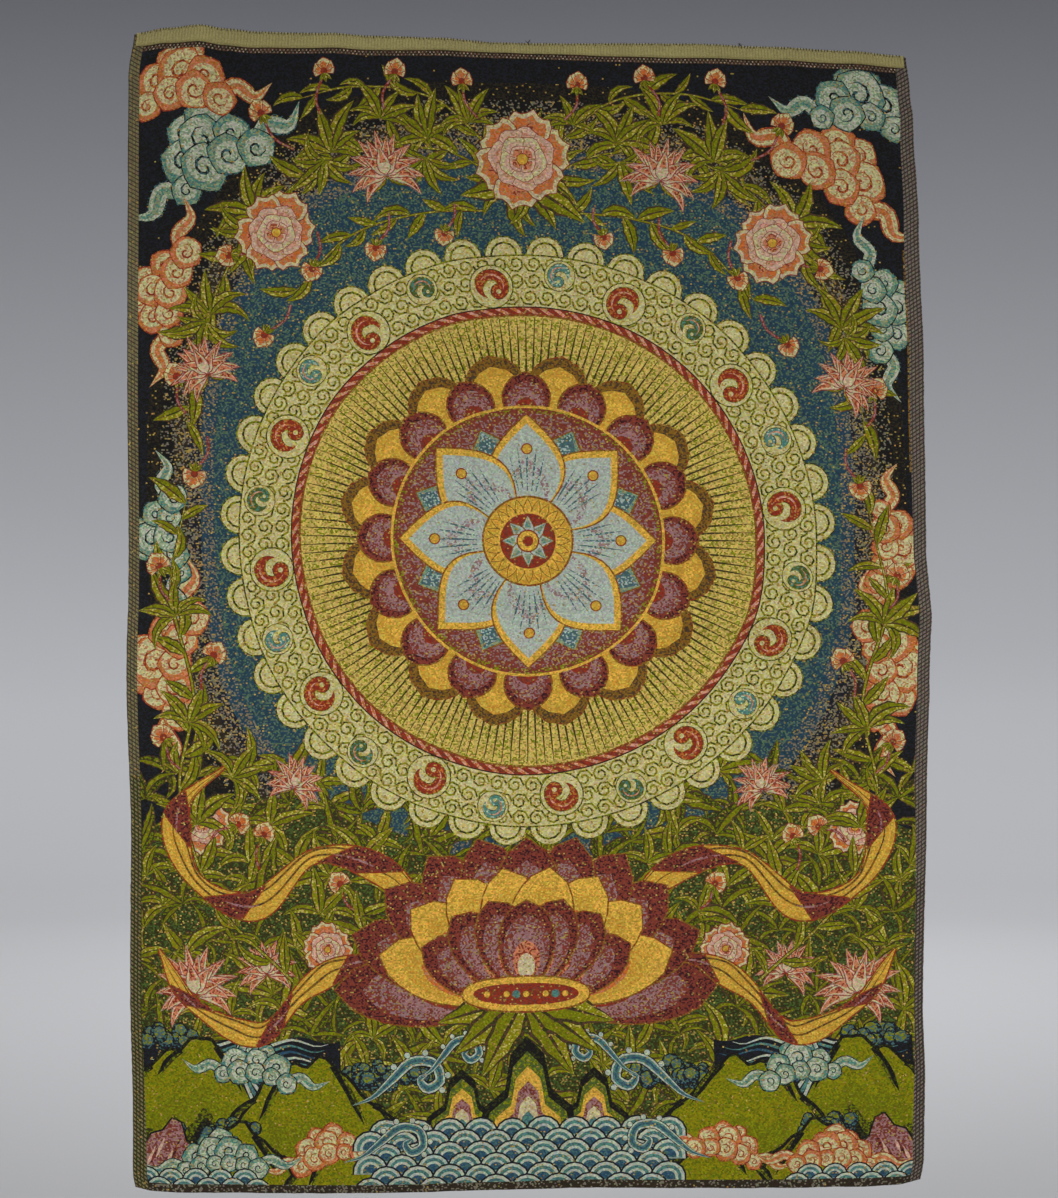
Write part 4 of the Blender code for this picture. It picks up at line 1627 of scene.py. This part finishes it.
def make_backdrop():
    """A round studio cove: pale floor, curving up to a wall that darkens with height."""
    profile = [(0.02, FLOOR_LEVEL), (BOWL_RADIUS - COVE_RADIUS, FLOOR_LEVEL)]
    for turn in range(10, 91, 10):
        profile.append((BOWL_RADIUS - COVE_RADIUS + COVE_RADIUS * sin(radians(turn)),
                        FLOOR_LEVEL + COVE_RADIUS * (1 - cos(radians(turn)))))
    profile.append((BOWL_RADIUS, FLOOR_LEVEL + BOWL_HEIGHT))
    around = 96
    verts = [(r * cos(2 * pi * k / around), r * sin(2 * pi * k / around), z)
             for r, z in profile for k in range(around)]
    paper = Finish("studio_paper", Roughness=0.9, Metallic=0.0)
    _, _, height = paper.parts(paper.node("ShaderNodeNewGeometry", {}, {}, "Position"))
    low = paper.maths("MINIMUM", (height - FLOOR_LEVEL) / 0.35, 1.0)
    high = paper.maths("MINIMUM", (height - FLOOR_LEVEL) / 2.1, 1.0)
    wall = paper.colour_mix(high, (0.585, 0.59, 0.615, 1), (0.115, 0.118, 0.134, 1))
    paper.feed(Base_Color=paper.colour_mix(low, (0.45, 0.452, 0.465, 1), wall))
    open_top = skin(len(profile), around, 1)[:-1]
    meshed("studio_cove", verts, open_top, paper.material)


def soft_light(name, place, aim, size, watts, spread=180):
    light = bpy.data.lights.new(name, "AREA")
    light.shape, light.size, light.size_y, light.energy = "RECTANGLE", *size, watts
    light.spread = radians(spread)
    lamp = in_scene(name, light)
    lamp.location = place
    lamp.rotation_euler = (Vector(aim) - Vector(place)).to_track_quat("-Z", "Y").to_euler()


def make_lights():
    """Two soft boxes that light the lower part of the cloth most, and lights for its back and wall."""
    low, middle, wall = (0, 0, -0.62), (0, 0, -0.43), (0, 4.8, -0.6)
    soft_light("key", (-1.5, -1.9, -0.1), low, (1.1, 1.1), 3.1, 50)
    soft_light("fill", (1.7, -1.8, -0.22), low, (1.1, 1.1), 2.3, 50)
    soft_light("overhead", (0, -1.0, 2.4), middle, (2.2, 1.6), 10)
    soft_light("behind", (0.6, 2.6, 1.6), middle, (2.0, 1.6), 36)
    soft_light("backdrop", (0, 1.4, 2.4), wall, (3.0, 1.0), 110)
    world = bpy.data.worlds.new("studio")
    world.use_nodes = True
    sky = world.node_tree.nodes["Background"].inputs
    sky["Color"].default_value = (0.94, 0.96, 1.0, 1)
    sky["Strength"].default_value = 0.22
    bpy.context.scene.world = world


def make_camera():
    camera = in_scene("camera", bpy.data.cameras.new("camera"))
    camera.data.lens = CAMERA_LENS
    camera.location = (PICTURE_MIDDLE[0], -CAMERA_DISTANCE, PICTURE_MIDDLE[1])
    camera.rotation_euler = (radians(90), 0, 0)
    bpy.context.scene.camera = camera


# ---------------------------------------------------------------- the whole

bpy.context.scene.view_settings.view_transform = "Standard"
make_camera()
panel = make_panel(draw_picture())
heading = make_heading()
yellow = thread_finish("seam_thread", (0.40, 0.33, 0.10))
dark = thread_finish("dark_thread", (0.055, 0.045, 0.035))
sewing = [make_overcasting(dark), make_seam(yellow), make_hem_stitches(yellow), make_thread_ends(dark)]
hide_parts("brocade_panel")
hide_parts("heading_tape")
make_backdrop()
make_lights()
